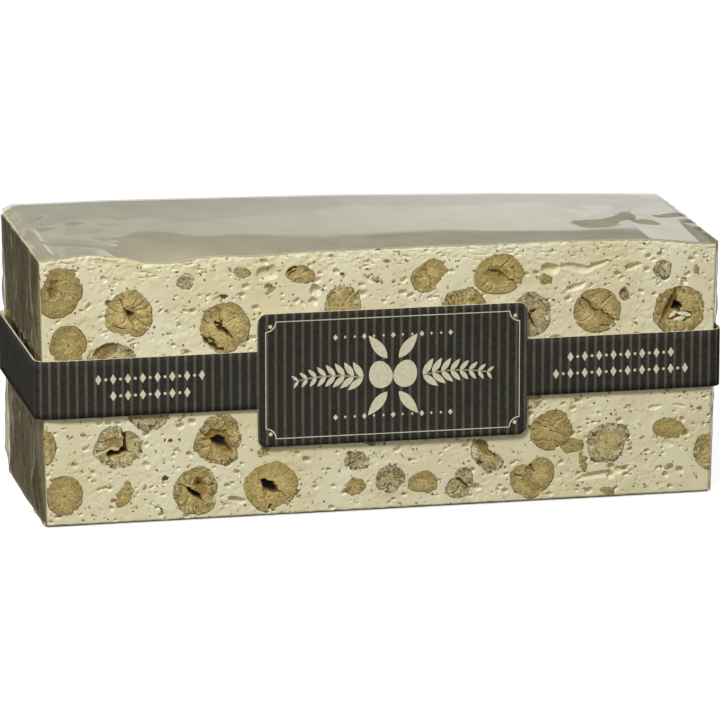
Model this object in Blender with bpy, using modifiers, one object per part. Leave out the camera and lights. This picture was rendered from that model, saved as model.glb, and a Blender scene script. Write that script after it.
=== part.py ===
"""A block of hard hazelnut nougat between two wafer sheets, with folded film ends and a card band.

The origin is the middle of the underside. +X runs along the block to the right, +Y runs to the
back and +Z up. All lengths are in metres. The front face is the cut face that shows the nuts.
"""

from collections import namedtuple
from math import acos, atan2, cos, hypot, pi, radians, sin
from random import Random

import bmesh
import bpy
from mathutils import Matrix, Vector

MM = 0.001

# Driving dimensions of the block
LENGTH = 160 * MM  # along the underside
DEPTH = 56 * MM
HEIGHT_LEFT = 63.7 * MM
HEIGHT_RIGHT = 61.1 * MM
FLARE = 1.15 * MM  # how far each end leans out at the top
WAFER = 0.6 * MM
GAP = 0.3 * MM  # between pieces that touch
# How much higher the upper side is at the back than at the front: (x, rise), in millimetres
BACK_RISE = [(-80.0, 0.2), (-76.5, 1.9), (-55.0, 2.3), (0.0, 2.2), (40.0, 1.5), (80.0, 0.3)]

# The card band: a ring round the block, widened to a label panel on the front
CARD = 0.4 * MM
BAND_LOW = 26.0 * MM
BAND_HIGH = 39.9 * MM
BAND_HALF_LENGTH = 82.1 * MM  # to the card's inner face, over the folded film
BAND_OFF_FACE = 0.45 * MM  # from the front and back of the block to the card
BAND_CORNER_X = 3.2 * MM
BAND_CORNER_Y = 2.4 * MM
BAND_CORNER_STEPS = 5
LABEL_LEFT = -30.1 * MM
LABEL_RIGHT = 34.8 * MM
LABEL_LOW = 16.8 * MM
LABEL_HIGH = 48.8 * MM
LABEL_CORNER = 2.3 * MM
LABEL_CORNER_STEPS = 4

# The folded film at each end: a flat layer with two pointed flaps over it
FILM_LAYER = 0.35 * MM
FILM_INSET = 0.7 * MM  # from the block's edges
FLAP_REACH = 0.62  # of the end's height or width that a flap crosses
FLAP_TIP = 0.42  # of its root width that a flap keeps at its tip

# Hazelnuts
NUT_DEPTH = 0.42  # of a nut's mean width that lies behind the cut face
NUT_GAP = 0.35 * MM  # round a nut in its pocket
NUT_RIM = 0.4 * MM  # straight part of its side, next to the cut face
NUT_SIDES = 12
SMALL_NUT_SIDES = 9
SMALL_NUT = 8.5 * MM  # narrower nuts take fewer sides
CUTTER_REACH = 1.0 * MM  # of a pocket's cutter out of the face
BACK_NUTS = 12
END_NUTS = 3
NUT_SEED = 12

# A nut's place on its face is across and up, from the middle of the underside, in millimetres.
Nut = namedtuple("Nut", "across up width height turn kind")
FRONT_NUTS = [
    Nut(-76.4, 55.8, 10.8, 11.8, 0, "hollow"),
    Nut(-74.6, 43.4, 8.9, 9.6, 0, "plain"),
    Nut(-64.3, 37.8, 12.2, 12.2, 0, "plain"),
    Nut(-60.4, 50.6, 11.8, 11.2, 0, "hollow"),
    Nut(-37.8, 45.7, 12.3, 12.2, 0, "hollow"),
    Nut(-55.8, 27.9, 11.0, 12.0, 0, "plain"),
    Nut(-63.1, 18.5, 11.6, 10.8, 0, "hollow"),
    Nut(-76.5, 7.6, 10.0, 10.4, 0, "plain"),
    Nut(-79.8, 19.2, 4.4, 8.4, 0, "plain"),
    Nut(-45.1, 7.5, 10.9, 11.4, 0, "hollow"),
    Nut(-39.4, 18.9, 11.9, 12.8, 0, "hollow"),
    Nut(-26.9, 7.5, 13.2, 11.6, 0, "hollow"),
    Nut(-19.8, 57.8, 7.4, 4.5, -10, "plain"),
    Nut(-9.6, 49.9, 9.1, 9.6, 0, "plain"),
    Nut(-6.1, 12.1, 6.2, 4.9, 0, "plain"),
    Nut(-2.4, 19.8, 8.4, 8.8, 0, "plain"),
    Nut(1.9, 7.2, 7.2, 7.2, 0, "plain"),
    Nut(10.0, 6.2, 7.0, 5.6, 8, "plain"),
    Nut(11.1, 56.0, 9.8, 7.6, 38, "plain"),
    Nut(18.8, 5.9, 8.2, 5.8, 48, "twin"),
    Nut(19.6, 46.6, 12.0, 12.0, 0, "plain"),
    Nut(25.3, 12.3, 9.8, 5.0, -40, "plain"),
    Nut(27.9, 55.4, 12.6, 9.6, 0, "hollow"),
    Nut(36.0, 45.6, 9.6, 10.8, 0, "hollow"),
    Nut(34.4, 25.6, 8.2, 7.8, 0, "plain"),
    Nut(36.3, 6.5, 11.4, 9.0, 14, "twin"),
    Nut(42.2, 35.0, 8.8, 10.8, 0, "plain"),
    Nut(41.0, 17.2, 11.2, 9.4, 25, "plain"),
    Nut(51.9, 45.6, 11.9, 10.5, 0, "hollow"),
    Nut(54.4, 13.4, 10.6, 10.3, 0, "plain"),
    Nut(69.7, 16.2, 8.2, 5.2, -8, "plain"),
    Nut(71.9, 45.0, 13.0, 12.6, 0, "hollow"),
    Nut(80.6, 10.0, 9.2, 9.6, 0, "plain"),
]

# Hollows that burst bubbles and the knife left in the front face, in millimetres
Pit = namedtuple("Pit", "across up width height turn deep")
FRONT_PITS = [
    Pit(-27.5, 58.2, 5.6, 4.0, 25, 1.2),
    Pit(-16.0, 53.7, 2.6, 2.5, 0, 1.3),
    Pit(-16.4, 51.0, 1.9, 1.8, 0, 0.9),
    Pit(-34.8, 4.2, 4.6, 1.5, 5, 1.2),
    Pit(40.5, 56.4, 4.6, 2.7, 10, 1.2),
    Pit(48.6, 56.4, 11.0, 1.9, 14, 0.8),
    Pit(60.2, 55.8, 3.4, 1.9, 30, 1.1),
    Pit(58.6, 49.6, 2.2, 2.6, 0, 1.4),
    Pit(53.4, 5.6, 12.0, 2.0, 14, 0.8),
]


def rise_at(x):
    """How much higher the upper side is at the back, between the stations on either side."""
    for (x0, rise0), (x1, rise1) in zip(BACK_RISE, BACK_RISE[1:]):
        if x <= x1 * MM:
            break
    share = (x - x0 * MM) / ((x1 - x0) * MM)
    return (rise0 + (rise1 - rise0) * share) * MM


def top_at(x, y):
    """The height of the upper side, which falls to the right and rises to the back."""
    front = HEIGHT_LEFT + (HEIGHT_RIGHT - HEIGHT_LEFT) * (x / LENGTH + 0.5)
    return front + rise_at(x) * (y / DEPTH + 0.5)


def end_at(z):
    """How far the leaning ends are from the middle at a height."""
    return LENGTH / 2 + FLARE * z / HEIGHT_LEFT


def new_collection(name):
    collection = bpy.data.collections.new(name)
    bpy.context.scene.collection.children.link(collection)
    return collection


def finish(name, colour, roughness, alpha=1.0):
    """A material with one Principled shader."""
    made = bpy.data.materials.new(name)
    made.use_nodes = True
    shader = made.node_tree.nodes["Principled BSDF"]
    shader.inputs["Base Color"].default_value = (*colour, 1.0)
    shader.inputs["Roughness"].default_value = roughness
    shader.inputs["Metallic"].default_value = 0.0
    shader.inputs["Alpha"].default_value = alpha
    return made


def add_object(name, mesh, collection, look=None):
    made = bpy.data.objects.new(name, mesh)
    if look:
        mesh.materials.append(look)
    collection.objects.link(made)
    return made


def add_cutter(name, mesh):
    made = add_object(name, mesh, CUTTERS)
    made.hide_render = True
    made.display_type = "WIRE"
    return made


def mesh_from(bm, name):
    mesh = bpy.data.meshes.new(name)
    bm.to_mesh(mesh)
    bm.free()
    return mesh


def slab(name, low, high):
    """A layer of the block between two heights, functions of x and y, with leaning ends."""
    bm = bmesh.new()
    bmesh.ops.create_cube(bm, size=2.0)
    for station, _ in BACK_RISE[1:-1]:
        geometry = bm.verts[:] + bm.edges[:] + bm.faces[:]
        place = (station * MM / (LENGTH / 2), 0, 0)
        bmesh.ops.bisect_plane(bm, geom=geometry, plane_co=place, plane_no=(1, 0, 0))
    for vertex in bm.verts:
        side, face, level = vertex.co
        x, y = side * LENGTH / 2, face * DEPTH / 2
        z = high(x, y) if level > 0 else low(x, y)
        vertex.co = (side * end_at(z), y, z)
    bmesh.ops.triangulate(bm, faces=bm.faces, quad_method="SHORT_EDGE")
    return mesh_from(bm, name)


def box(name, low, high):
    """A box between two corners."""
    bm = bmesh.new()
    bmesh.ops.create_cube(bm, size=1.0)
    centre = (Vector(low) + Vector(high)) / 2
    size = Vector(high) - Vector(low)
    bmesh.ops.scale(bm, vec=size, verts=bm.verts)
    bmesh.ops.translate(bm, vec=centre, verts=bm.verts)
    return mesh_from(bm, name)


def face_frame(side):
    """From a face's own frame (across, inwards, up) to the part's frame."""
    lean = atan2(FLARE, HEIGHT_LEFT)
    if side == "front":
        return Matrix.Translation((0, -DEPTH / 2, 0))
    if side == "back":
        return Matrix.Translation((0, DEPTH / 2, 0)) @ Matrix.Rotation(pi, 4, "Z")
    if side == "left":
        turn = Matrix.Rotation(-lean, 4, "Y") @ Matrix.Rotation(-pi / 2, 4, "Z")
        return Matrix.Translation((-LENGTH / 2, 0, 0)) @ turn
    turn = Matrix.Rotation(lean, 4, "Y") @ Matrix.Rotation(pi / 2, 4, "Z")
    return Matrix.Translation((LENGTH / 2, 0, 0)) @ turn


def bowl(depth):
    """The rounded back of a nut, as rings of (share of its outline, depth)."""
    return [(cos(radians(a)), depth * sin(radians(a))) for a in (38, 66)] + [(0.0, depth)]


def nut_rings(nut, depth):
    """The rings of a nut from the middle of its cut face to the middle of its back."""
    sides = [(1.0, 0.0), (1.0, NUT_RIM)] + bowl(depth)
    if nut.kind == "hollow":
        hollow = 0.45 * depth
        return [(0.0, hollow), (0.2, 0.8 * hollow), (0.34, 0.0)] + sides
    return [(0.0, 0.0)] + sides


def pocket_rings(depth):
    """The rings of the pocket's cutter, which reaches out of the face."""
    return [(0.0, -CUTTER_REACH), (1.0, -CUTTER_REACH), (1.0, NUT_RIM)] + bowl(depth + NUT_GAP)


def lobes(angle, nut, draw):
    """How much the outline swells at an angle. A twin nut has a waist."""
    waist = 0.17 * sin(angle) ** 8 if nut.kind == "twin" else 0.0
    swell = 0.035 * cos(2 * (angle - draw[0])) + 0.025 * cos(3 * (angle - draw[1]))
    return 1.0 + swell - waist


def nut_mesh(name, nut, rings, side, draw, grow=0.0):
    """A sphere whose rings are moved to a nut's profile, set into one face of the block."""
    bm = bmesh.new()
    wide = min(nut.width, nut.height) * MM >= SMALL_NUT
    sides = NUT_SIDES if wide else SMALL_NUT_SIDES
    steps = len(rings) - 1
    bmesh.ops.create_uvsphere(bm, u_segments=sides, v_segments=steps, radius=1.0)
    turned = Matrix.Rotation(radians(-nut.turn), 4, "Y")
    placed = Matrix.Translation((nut.across * MM, 0, nut.up * MM)) @ turned
    for vertex in bm.verts:
        ring = round(acos(max(-1.0, min(1.0, vertex.co.z))) * steps / pi)
        share, depth = rings[ring]
        angle = atan2(vertex.co.y, vertex.co.x)
        swell = lobes(angle, nut, draw) * share
        across = (nut.width * MM / 2 + grow) * swell * cos(angle)
        up = (nut.height * MM / 2 + grow) * swell * sin(angle)
        vertex.co = placed @ Vector((across, depth, up))
    bmesh.ops.transform(bm, matrix=face_frame(side), verts=bm.verts)
    if grow == 0.0:
        trim_at_ends(bm)
    return mesh_from(bm, name)


def trim_at_ends(bm):
    """Cuts a nut off flush with the leaning ends of the block."""
    for sign in (-1, 1):
        lean = Vector((sign * HEIGHT_LEFT, 0, -FLARE)).normalized()
        foot = Vector((sign * LENGTH / 2, 0, 0))
        if max((v.co - foot).dot(lean) for v in bm.verts) < 0:
            continue
        geometry = bm.verts[:] + bm.edges[:] + bm.faces[:]
        bmesh.ops.bisect_plane(bm, geom=geometry, plane_co=foot, plane_no=lean, clear_outer=True)
        rim = [edge for edge in bm.edges if edge.is_boundary]
        bmesh.ops.holes_fill(bm, edges=rim)
        bmesh.ops.recalc_face_normals(bm, faces=bm.faces)


def add_nut(name, nut, side, random):
    """A nut and the cutter of its pocket."""
    depth = NUT_DEPTH * (nut.width + nut.height) / 2 * MM
    draw = (random.uniform(0, pi), random.uniform(0, pi))
    mesh = nut_mesh(name, nut, nut_rings(nut, depth), side, draw)
    made = add_object(name, mesh, PART, HAZELNUT)
    mesh.shade_smooth()
    mesh.set_sharp_from_angle(angle=radians(50))
    pocket = nut_mesh(name, nut, pocket_rings(depth), side, draw, NUT_GAP)
    add_object("pocket_" + name, pocket, POCKETS)
    return made


def scattered_nuts(count, half_width, low, high, widest, random):
    """Nuts drawn one by one on a face, each clear of the ones before it."""
    nuts = []
    for _ in range(count * 400):
        width = random.uniform(8.5, widest)
        height = width * random.uniform(0.85, 1.05)
        reach = width / 2 + 1.6
        across = random.uniform(-half_width + reach, half_width - reach)
        up = random.uniform(low + reach, high - reach)
        spread = [hypot(across - n.across, up - n.up) - n.width / 2 - width / 2 for n in nuts]
        if not spread or min(spread) > 2.0:
            nuts.append(Nut(across, up, width, height, random.uniform(-40, 40), "plain"))
        if len(nuts) == count:
            break
    return nuts


def add_pit(number, pit):
    """The cutter of one shallow hollow in the front face."""
    bm = bmesh.new()
    bmesh.ops.create_icosphere(bm, subdivisions=2, radius=1.0)
    size = Vector((pit.width / 2, pit.deep, pit.height / 2)) * MM
    bmesh.ops.scale(bm, vec=size, verts=bm.verts)
    turned = Matrix.Rotation(radians(-pit.turn), 4, "Y")
    out = -0.07 * pit.deep
    place = Matrix.Translation(Vector((pit.across, out, pit.up)) * MM) @ turned
    bmesh.ops.transform(bm, matrix=face_frame("front") @ place, verts=bm.verts)
    add_object(f"pit_{number:02d}", mesh_from(bm, "pit"), POCKETS)


def add_boolean(target, operation, cutter):
    cut = target.modifiers.new(operation.lower(), "BOOLEAN")
    cut.operation = operation
    cut.solver = "EXACT"
    if isinstance(cutter, bpy.types.Collection):
        cut.operand_type = "COLLECTION"
        cut.collection = cutter
    else:
        cut.object = cutter


def band_corner(sign_x, sign_y):
    """One rounded corner of the band seen from above, with its points running anticlockwise."""
    start = {(1, 1): 0, (-1, 1): 90, (-1, -1): 180, (1, -1): 270}[sign_x, sign_y]
    centre_x = sign_x * (BAND_HALF_LENGTH - BAND_CORNER_X)
    centre_y = sign_y * (DEPTH / 2 + BAND_OFF_FACE - BAND_CORNER_Y)
    turns = [radians(start + 90 * i / BAND_CORNER_STEPS) for i in range(BAND_CORNER_STEPS + 1)]
    return [
        (centre_x + BAND_CORNER_X * cos(a), centre_y + BAND_CORNER_Y * sin(a)) for a in turns
    ]


def add_band():
    """A tall card ring, cut to a band with a wider label panel on its front."""
    bm = bmesh.new()
    corners = [(1, 1), (-1, 1), (-1, -1), (1, -1)]
    path = [point for corner in corners for point in band_corner(*corner)]
    low = [bm.verts.new((x, y, LABEL_LOW - 2 * CARD)) for x, y in path]
    loop = [bm.edges.new((a, b)) for a, b in zip(low, low[1:] + low[:1])]
    raised = bmesh.ops.extrude_edge_only(bm, edges=loop)["geom"]
    rise = LABEL_HIGH - LABEL_LOW + 4 * CARD
    top = [v for v in raised if isinstance(v, bmesh.types.BMVert)]
    bmesh.ops.translate(bm, vec=(0, 0, rise), verts=top)
    outward = bm.faces[:][0]
    outward.normal_update()
    if outward.normal.dot(outward.calc_center_median() * Vector((1, 1, 0))) < 0:
        bmesh.ops.reverse_faces(bm, faces=bm.faces)
    band = add_object("card_band", mesh_from(bm, "card_band"), PART, BAND_CARD)
    wall = band.modifiers.new("card", "SOLIDIFY")
    wall.thickness = CARD
    wall.offset = 1.0
    die = add_cutter("die", box("die", (-LENGTH, -DEPTH, BAND_LOW), (LENGTH, DEPTH, BAND_HIGH)))
    panel_low = (LABEL_LEFT, -DEPTH, LABEL_LOW)
    panel_high = (LABEL_RIGHT, -DEPTH / 4, LABEL_HIGH)
    panel_mesh = box("panel", panel_low, panel_high)
    round_panel_corners(panel_mesh)
    panel = add_cutter("panel", panel_mesh)
    add_boolean(die, "UNION", panel)
    add_boolean(band, "INTERSECT", die)
    return band


def round_panel_corners(mesh):
    """Rounds the four edges of the panel's block that run from front to back."""
    bm = bmesh.new()
    bm.from_mesh(mesh)
    along = [e for e in bm.edges if abs(e.verts[0].co.y - e.verts[1].co.y) > CARD]
    bmesh.ops.bevel(
        bm,
        geom=along,
        offset=LABEL_CORNER,
        segments=LABEL_CORNER_STEPS,
        profile=0.5,
        affect="EDGES",
    )
    bm.to_mesh(mesh)
    bm.free()


def flap(name, root_half, tip_half, reach, bottom, top):
    """A pointed flap as a prism: its root on the line up = 0, its tip at up = reach."""
    bm = bmesh.new()
    bmesh.ops.create_cube(bm, size=2.0)
    for vertex in bm.verts:
        across, inward, up = vertex.co
        half = tip_half if up > 0 else root_half
        vertex.co = (across * half, bottom if inward > 0 else top, reach if up > 0 else 0.0)
    return mesh_from(bm, name)


def add_film_end(side):
    """The film folded shut over one end: a flat layer, then a flap from above and one from below."""
    frame = face_frame(side)
    high = (HEIGHT_LEFT if side == "left" else HEIGHT_RIGHT) - FILM_INSET
    half = DEPTH / 2 - FILM_INSET
    inner = -GAP
    first = inner - FILM_LAYER
    second = first - FILM_LAYER
    layer = box("film_layer", (-half, first, FILM_INSET), (half, inner, high))
    made = add_object("film_end_" + side, layer, PART, FILM)
    made.data.transform(frame)
    reach = FLAP_REACH * (high - FILM_INSET)
    sunk = first + FILM_LAYER / 2
    shapes = {
        "upper": Matrix.Translation((0, 0, high - 0.2 * MM)) @ Matrix.Diagonal((1, 1, -1, 1)),
        "lower": Matrix.Translation((0, 0, FILM_INSET + 0.2 * MM)),
    }
    for word, place in shapes.items():
        drop = 0.0 if word == "upper" else 0.15 * MM
        root = half - (0.4 if word == "upper" else 0.9) * MM
        tip = root * FLAP_TIP
        long = reach if word == "upper" else 0.45 * reach
        mesh = flap(f"flap_{word}", root, tip, long, sunk, second + drop)
        mesh.transform(frame @ place)
        if place.determinant() < 0:
            mesh.flip_normals()
        add_boolean(made, "UNION", add_cutter(f"flap_{word}_{side}", mesh))
    return made


for old in list(bpy.data.objects):
    bpy.data.objects.remove(old, do_unlink=True)

PART = new_collection("nougat_block_in_film")
CUTTERS = new_collection("cutters")
POCKETS = new_collection("pockets")

NOUGAT = finish("nougat", (0.72, 0.66, 0.46), 0.7)
HAZELNUT = finish("hazelnut", (0.36, 0.25, 0.10), 0.65)
WAFER_SHEET = finish("wafer", (0.62, 0.60, 0.50), 0.85)
BAND_CARD = finish("band_card", (0.035, 0.032, 0.028), 0.6)
FILM = finish("film", (0.75, 0.75, 0.70), 0.1, alpha=0.35)

underside = WAFER + GAP
block_mesh = slab("nougat", lambda x, y: underside, lambda x, y: top_at(x, y) - underside)
block = add_object("nougat_block", block_mesh, PART, NOUGAT)

below = slab("wafer_bottom", lambda x, y: 0.0, lambda x, y: WAFER)
add_object("wafer_bottom", below, PART, WAFER_SHEET)
above = slab("wafer_top", lambda x, y: top_at(x, y) - WAFER, top_at)
add_object("wafer_top", above, PART, WAFER_SHEET)

draws = Random(NUT_SEED)
for index, front_nut in enumerate(FRONT_NUTS, 1):
    add_nut(f"hazelnut_front_{index:02d}", front_nut, "front", draws)
back_places = scattered_nuts(BACK_NUTS, 74, 2, 60, 13, draws)
for index, back_nut in enumerate(back_places, 1):
    add_nut(f"hazelnut_back_{index:02d}", back_nut, "back", draws)
for end in ("left", "right"):
    end_places = scattered_nuts(END_NUTS, 19, 2, 59, 12, draws)
    for index, end_nut in enumerate(end_places, 1):
        add_nut(f"hazelnut_{end}_{index:02d}", end_nut, end, draws)
    add_film_end(end)
for index, front_pit in enumerate(FRONT_PITS, 1):
    add_pit(index, front_pit)

for pocket_cutter in POCKETS.objects:
    pocket_cutter.hide_render = True
    pocket_cutter.display_type = "WIRE"
add_boolean(block, "DIFFERENCE", POCKETS)

add_band()
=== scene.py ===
# %% [markdown]
# # A wrapped block of hazelnut nougat
# The real thing is a bar of hard white nougat, cut with a blade so that the roasted hazelnuts show
# in its faces. Two sheets of edible wafer cover it above and below, clear film is folded round it,
# and a striped card band holds the film shut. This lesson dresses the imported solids: each one keeps
# its place, and the pieces made here bring the fine shapes and the finishes.

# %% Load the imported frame
from collections import namedtuple
from math import cos, pi, radians, sin

import bmesh
import bpy
import numpy as np
from mathutils import Matrix, Vector


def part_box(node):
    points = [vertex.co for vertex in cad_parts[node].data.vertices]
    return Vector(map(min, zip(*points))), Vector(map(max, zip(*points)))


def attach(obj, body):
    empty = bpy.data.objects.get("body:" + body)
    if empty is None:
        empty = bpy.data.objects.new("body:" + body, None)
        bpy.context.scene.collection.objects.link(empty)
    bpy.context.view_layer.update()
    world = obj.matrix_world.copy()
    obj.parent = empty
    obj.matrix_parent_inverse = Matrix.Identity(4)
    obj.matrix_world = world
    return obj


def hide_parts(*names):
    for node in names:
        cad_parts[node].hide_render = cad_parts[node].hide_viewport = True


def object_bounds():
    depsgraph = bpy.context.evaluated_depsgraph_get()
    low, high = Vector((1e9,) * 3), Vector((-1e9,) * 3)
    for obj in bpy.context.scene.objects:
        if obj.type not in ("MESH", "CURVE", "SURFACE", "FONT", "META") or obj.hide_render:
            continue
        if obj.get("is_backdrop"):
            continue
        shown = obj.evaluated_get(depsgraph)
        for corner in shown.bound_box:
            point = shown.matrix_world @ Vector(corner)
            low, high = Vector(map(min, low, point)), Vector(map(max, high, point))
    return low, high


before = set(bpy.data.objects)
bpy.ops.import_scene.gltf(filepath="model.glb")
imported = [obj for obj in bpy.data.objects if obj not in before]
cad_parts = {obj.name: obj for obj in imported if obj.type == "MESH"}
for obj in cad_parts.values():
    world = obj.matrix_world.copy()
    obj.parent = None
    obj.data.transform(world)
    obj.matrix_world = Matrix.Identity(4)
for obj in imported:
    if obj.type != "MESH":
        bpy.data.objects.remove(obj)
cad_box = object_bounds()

print("nodes:", len(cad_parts), "size:", [round(v, 4) for v in cad_box[1] - cad_box[0]])

# %% [markdown]
# ## Sizes
# Everything is modelled in millimetres and turned to metres when a mesh is made. The sizes come from
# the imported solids: the wafer sheets give the length, the depth, the slope of the top and the lean of
# the ends. Two small functions then say where the top and the ends are anywhere on the block.

# %% Sizes read from the solids
MM = 0.001


def corners(node):
    """The lowest and highest corner of a solid, in millimetres."""
    return np.array([list(corner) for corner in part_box(node)]) / MM


lower_wafer = corners("wafer_bottom")
upper_wafer = corners("wafer_top")
block = corners("nougat_block")
band = corners("card_band")
HALF_LOW = lower_wafer[1, 0]
HALF_HIGH = upper_wafer[1, 0]
HALF_DEPTH = block[1, 1]


def upper_edge(side):
    """The upper sheet's top edge at the front (-1) or the back (1), as rows of (x, height)."""
    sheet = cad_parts["wafer_top"]
    points = np.array([list(sheet.matrix_world @ v.co) for v in sheet.data.vertices]) / MM
    points = points[points[:, 1] * side > 0]
    highest = [points[np.abs(points[:, 0] - p[0]) < 1, 2].max() for p in points]
    points = points[points[:, 2] > np.array(highest) - 0.1]
    return points[np.argsort(points[:, 0])][:, [0, 2]]


FRONT_EDGE, BACK_EDGE = upper_edge(-1), upper_edge(1)
HEIGHT_LEFT, HEIGHT_RIGHT = FRONT_EDGE[0, 1], FRONT_EDGE[-1, 1]

# How far the cut edge along the top of the front is above (or below) a straight one: x, rise.
EDGE_WAVE = np.array(
    [(-81, -0.5), (-76, 0.0), (-71, 0.9), (-66, 0.7), (-61, -0.2), (-56, -1.6), (-50, -1.9),
     (-45, -1.0), (-40, -0.3), (-30, -0.6), (-22, -0.1), (-8, 0.3), (10, 0.5), (30, 0.7),
     (44, 0.9), (64, 0.7), (71, 0.0), (76, -0.6), (81, -0.8)]
)


def top_at(x, y):
    """The height of the upper side. It rises to the back, and its front edge is uneven."""
    front = np.interp(x, FRONT_EDGE[:, 0], FRONT_EDGE[:, 1])
    back = np.interp(x, BACK_EDGE[:, 0], BACK_EDGE[:, 1])
    share = (y / HALF_DEPTH + 1) / 2
    at_left = np.clip((-10 - x) / 16, 0, 1)
    fade = at_left * np.exp(-(y + HALF_DEPTH) / 7) + (1 - at_left) * (1 - share)
    return front + (back - front) * share + np.interp(x, EDGE_WAVE[:, 0], EDGE_WAVE[:, 1]) * fade


def end_at(z):
    """How far the leaning ends are from the middle at a height."""
    return HALF_LOW + (HALF_HIGH - HALF_LOW) * z / HEIGHT_LEFT


print("block", round(2 * HALF_LOW, 1), "x", round(2 * HALF_DEPTH, 1), "x", round(HEIGHT_LEFT, 1), "mm")

# %% [markdown]
# ## The camera
# The photograph was taken from far away with a long lens: the upright edges of the block stay nearly
# parallel. The camera stands 12 degrees to the left and 13 degrees up, and its distance comes from
# how much the right end shrinks against the left one.

# %% Camera at the photograph's viewing angle
CAMERA_TURN = 12.24
CAMERA_RISE = 13.07
CAMERA_PLACE = (-0.28416, -1.31296, 0.34176)
LENS = 288
SENSOR = 36

camera_data = bpy.data.cameras.new("camera")
camera_data.lens = LENS
camera_data.sensor_width = SENSOR
camera_data.dof.use_dof = False
camera = bpy.data.objects.new("camera", camera_data)
bpy.context.scene.collection.objects.link(camera)
turn, rise = radians(CAMERA_TURN), radians(CAMERA_RISE)
looking = Vector((sin(turn) * cos(rise), cos(turn) * cos(rise), -sin(rise)))
camera.location = CAMERA_PLACE
camera.rotation_euler = looking.to_track_quat("-Z", "Y").to_euler()
bpy.context.scene.camera = camera
print("camera looks along", [round(v, 3) for v in looking])

# %% [markdown]
# ## Floor and light
# A plain pale floor catches the shadow. One soft box high up in front, to the left, gives the cut face
# its light and puts the shade of each hollow on its upper left side. A second, broad and weak, stands
# low in front and opens the shade. The floor's board is grey to the block, so that it throws back no
# more light than a real one, and shines a little to the eye, so that the picture's ground is white.

# %% Floor and lights
TARGET = Vector((0.0, 0.0, 0.032))
FLOOR_HALF = 6.0
FLOOR_GAP = 0.0002


def soft_box(name, azimuth, elevation, distance, size, watts):
    """An area light that looks at the block. Azimuth 0 is in front, and 90 to the right."""
    lamp = bpy.data.lights.new(name, "AREA")
    lamp.shape = "RECTANGLE"
    lamp.size, lamp.size_y = size
    lamp.energy = watts
    made = bpy.data.objects.new(name, lamp)
    bpy.context.scene.collection.objects.link(made)
    a, e = radians(azimuth), radians(elevation)
    away = Vector((sin(a) * cos(e), -cos(a) * cos(e), sin(e)))
    made.location = TARGET + away * distance
    made.rotation_euler = (-away).to_track_quat("-Z", "Y").to_euler()
    return made


soft_box("key", azimuth=-31, elevation=46, distance=1.05, size=(0.32, 0.26), watts=9.5)
soft_box("fill", azimuth=0, elevation=18, distance=1.8, size=(1.2, 1.0), watts=2.6)

floor_mesh = bpy.data.meshes.new("floor")
floor_grid = bmesh.new()
bmesh.ops.create_grid(floor_grid, x_segments=1, y_segments=1, size=FLOOR_HALF)
floor_grid.to_mesh(floor_mesh)
floor_grid.free()
floor = bpy.data.objects.new("floor", floor_mesh)
floor.location = (0, 0, -FLOOR_GAP)
bpy.context.scene.collection.objects.link(floor)
floor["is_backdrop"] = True

world = bpy.data.worlds.new("studio")
bpy.context.scene.world = world
world.use_nodes = True
bpy.context.scene.view_settings.view_transform = "Standard"

# %% [markdown]
# ## Helpers for colour and nodes
# Colours are written as the sRGB hex values that a paint chart would give, and one function turns
# them into the linear values that a shader works with. Another adds a node with its settings and
# links. A third lays colours over one another, each where some value is high enough, because nearly
# every real finish is such a stack. With them each finish below reads as a short recipe.

# %% Colour, node and material helpers


def linear(code):
    """An sRGB hex colour as linear red, green, blue and alpha."""
    parts = [int(code[i : i + 2], 16) / 255 for i in (1, 3, 5)]
    return [p / 12.92 if p <= 0.04045 else ((p + 0.055) / 1.055) ** 2.4 for p in parts] + [1.0]


def add(tree, kind, inputs=None, **settings):
    """One node with its settings. Each input gets a value or a link."""
    made = tree.nodes.new(kind)
    for key, value in settings.items():
        setattr(made, key, value)
    for key, value in (inputs or {}).items():
        if isinstance(value, bpy.types.NodeSocket):
            tree.links.new(value, made.inputs[key])
        else:
            made.inputs[key].default_value = value
    return made


def new_finish(name):
    """An empty material: its node tree and its output."""
    made = bpy.data.materials.new(name)
    made.use_nodes = True
    made.node_tree.nodes.clear()
    output = add(made.node_tree, "ShaderNodeOutputMaterial")
    return made, made.node_tree, output


def layered(tree, ground, layers):
    """A ground colour under layers of others. Each layer covers the ones before it.

    A layer has a value, where that starts to count, where it is full, how much the layer then covers
    and a colour, as a hex value or a link.
    """
    colour = linear(ground)
    for value, start, full, most, over in layers:
        share = add(
            tree, "ShaderNodeMapRange", {"Value": value, "From Min": start, "From Max": full, "To Max": most}
        ).outputs[0]
        top = linear(over) if isinstance(over, str) else over
        colour = add(tree, "ShaderNodeMix", {0: share, 6: colour, 7: top}, data_type="RGBA").outputs[2]
    return colour


# The floor's board: matt grey paint, with a glow that only the camera sees.
painted, tree, output = new_finish("painted_board")
board = add(tree, "ShaderNodeBsdfDiffuse", {"Color": linear("#8A8884")}).outputs[0]
lit = add(tree, "ShaderNodeEmission", {"Color": linear("#FFFFFF"), "Strength": 0.92}).outputs[0]
eye = add(tree, "ShaderNodeLightPath").outputs["Is Camera Ray"]
seen = add(tree, "ShaderNodeAddShader", {0: board, 1: lit}).outputs[0]
shown = add(tree, "ShaderNodeMixShader", {0: eye, 1: board, 2: seen}).outputs[0]
tree.links.new(shown, output.inputs[0])
floor_mesh.materials.append(painted)

# %% [markdown]
# ## The room in the film's mirror
# Film lying flat mirrors what stands far behind it, so the room decides how the top looks. Behind the
# block the wall is dim on the left and paler to the right. One long panel of light hangs on it, lower
# at its right end, and above the panel the wall is dim again. The rest of the room is even and dark.
# Places in the room are directions: X to the right and Z up, each as a share of a unit vector.

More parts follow.
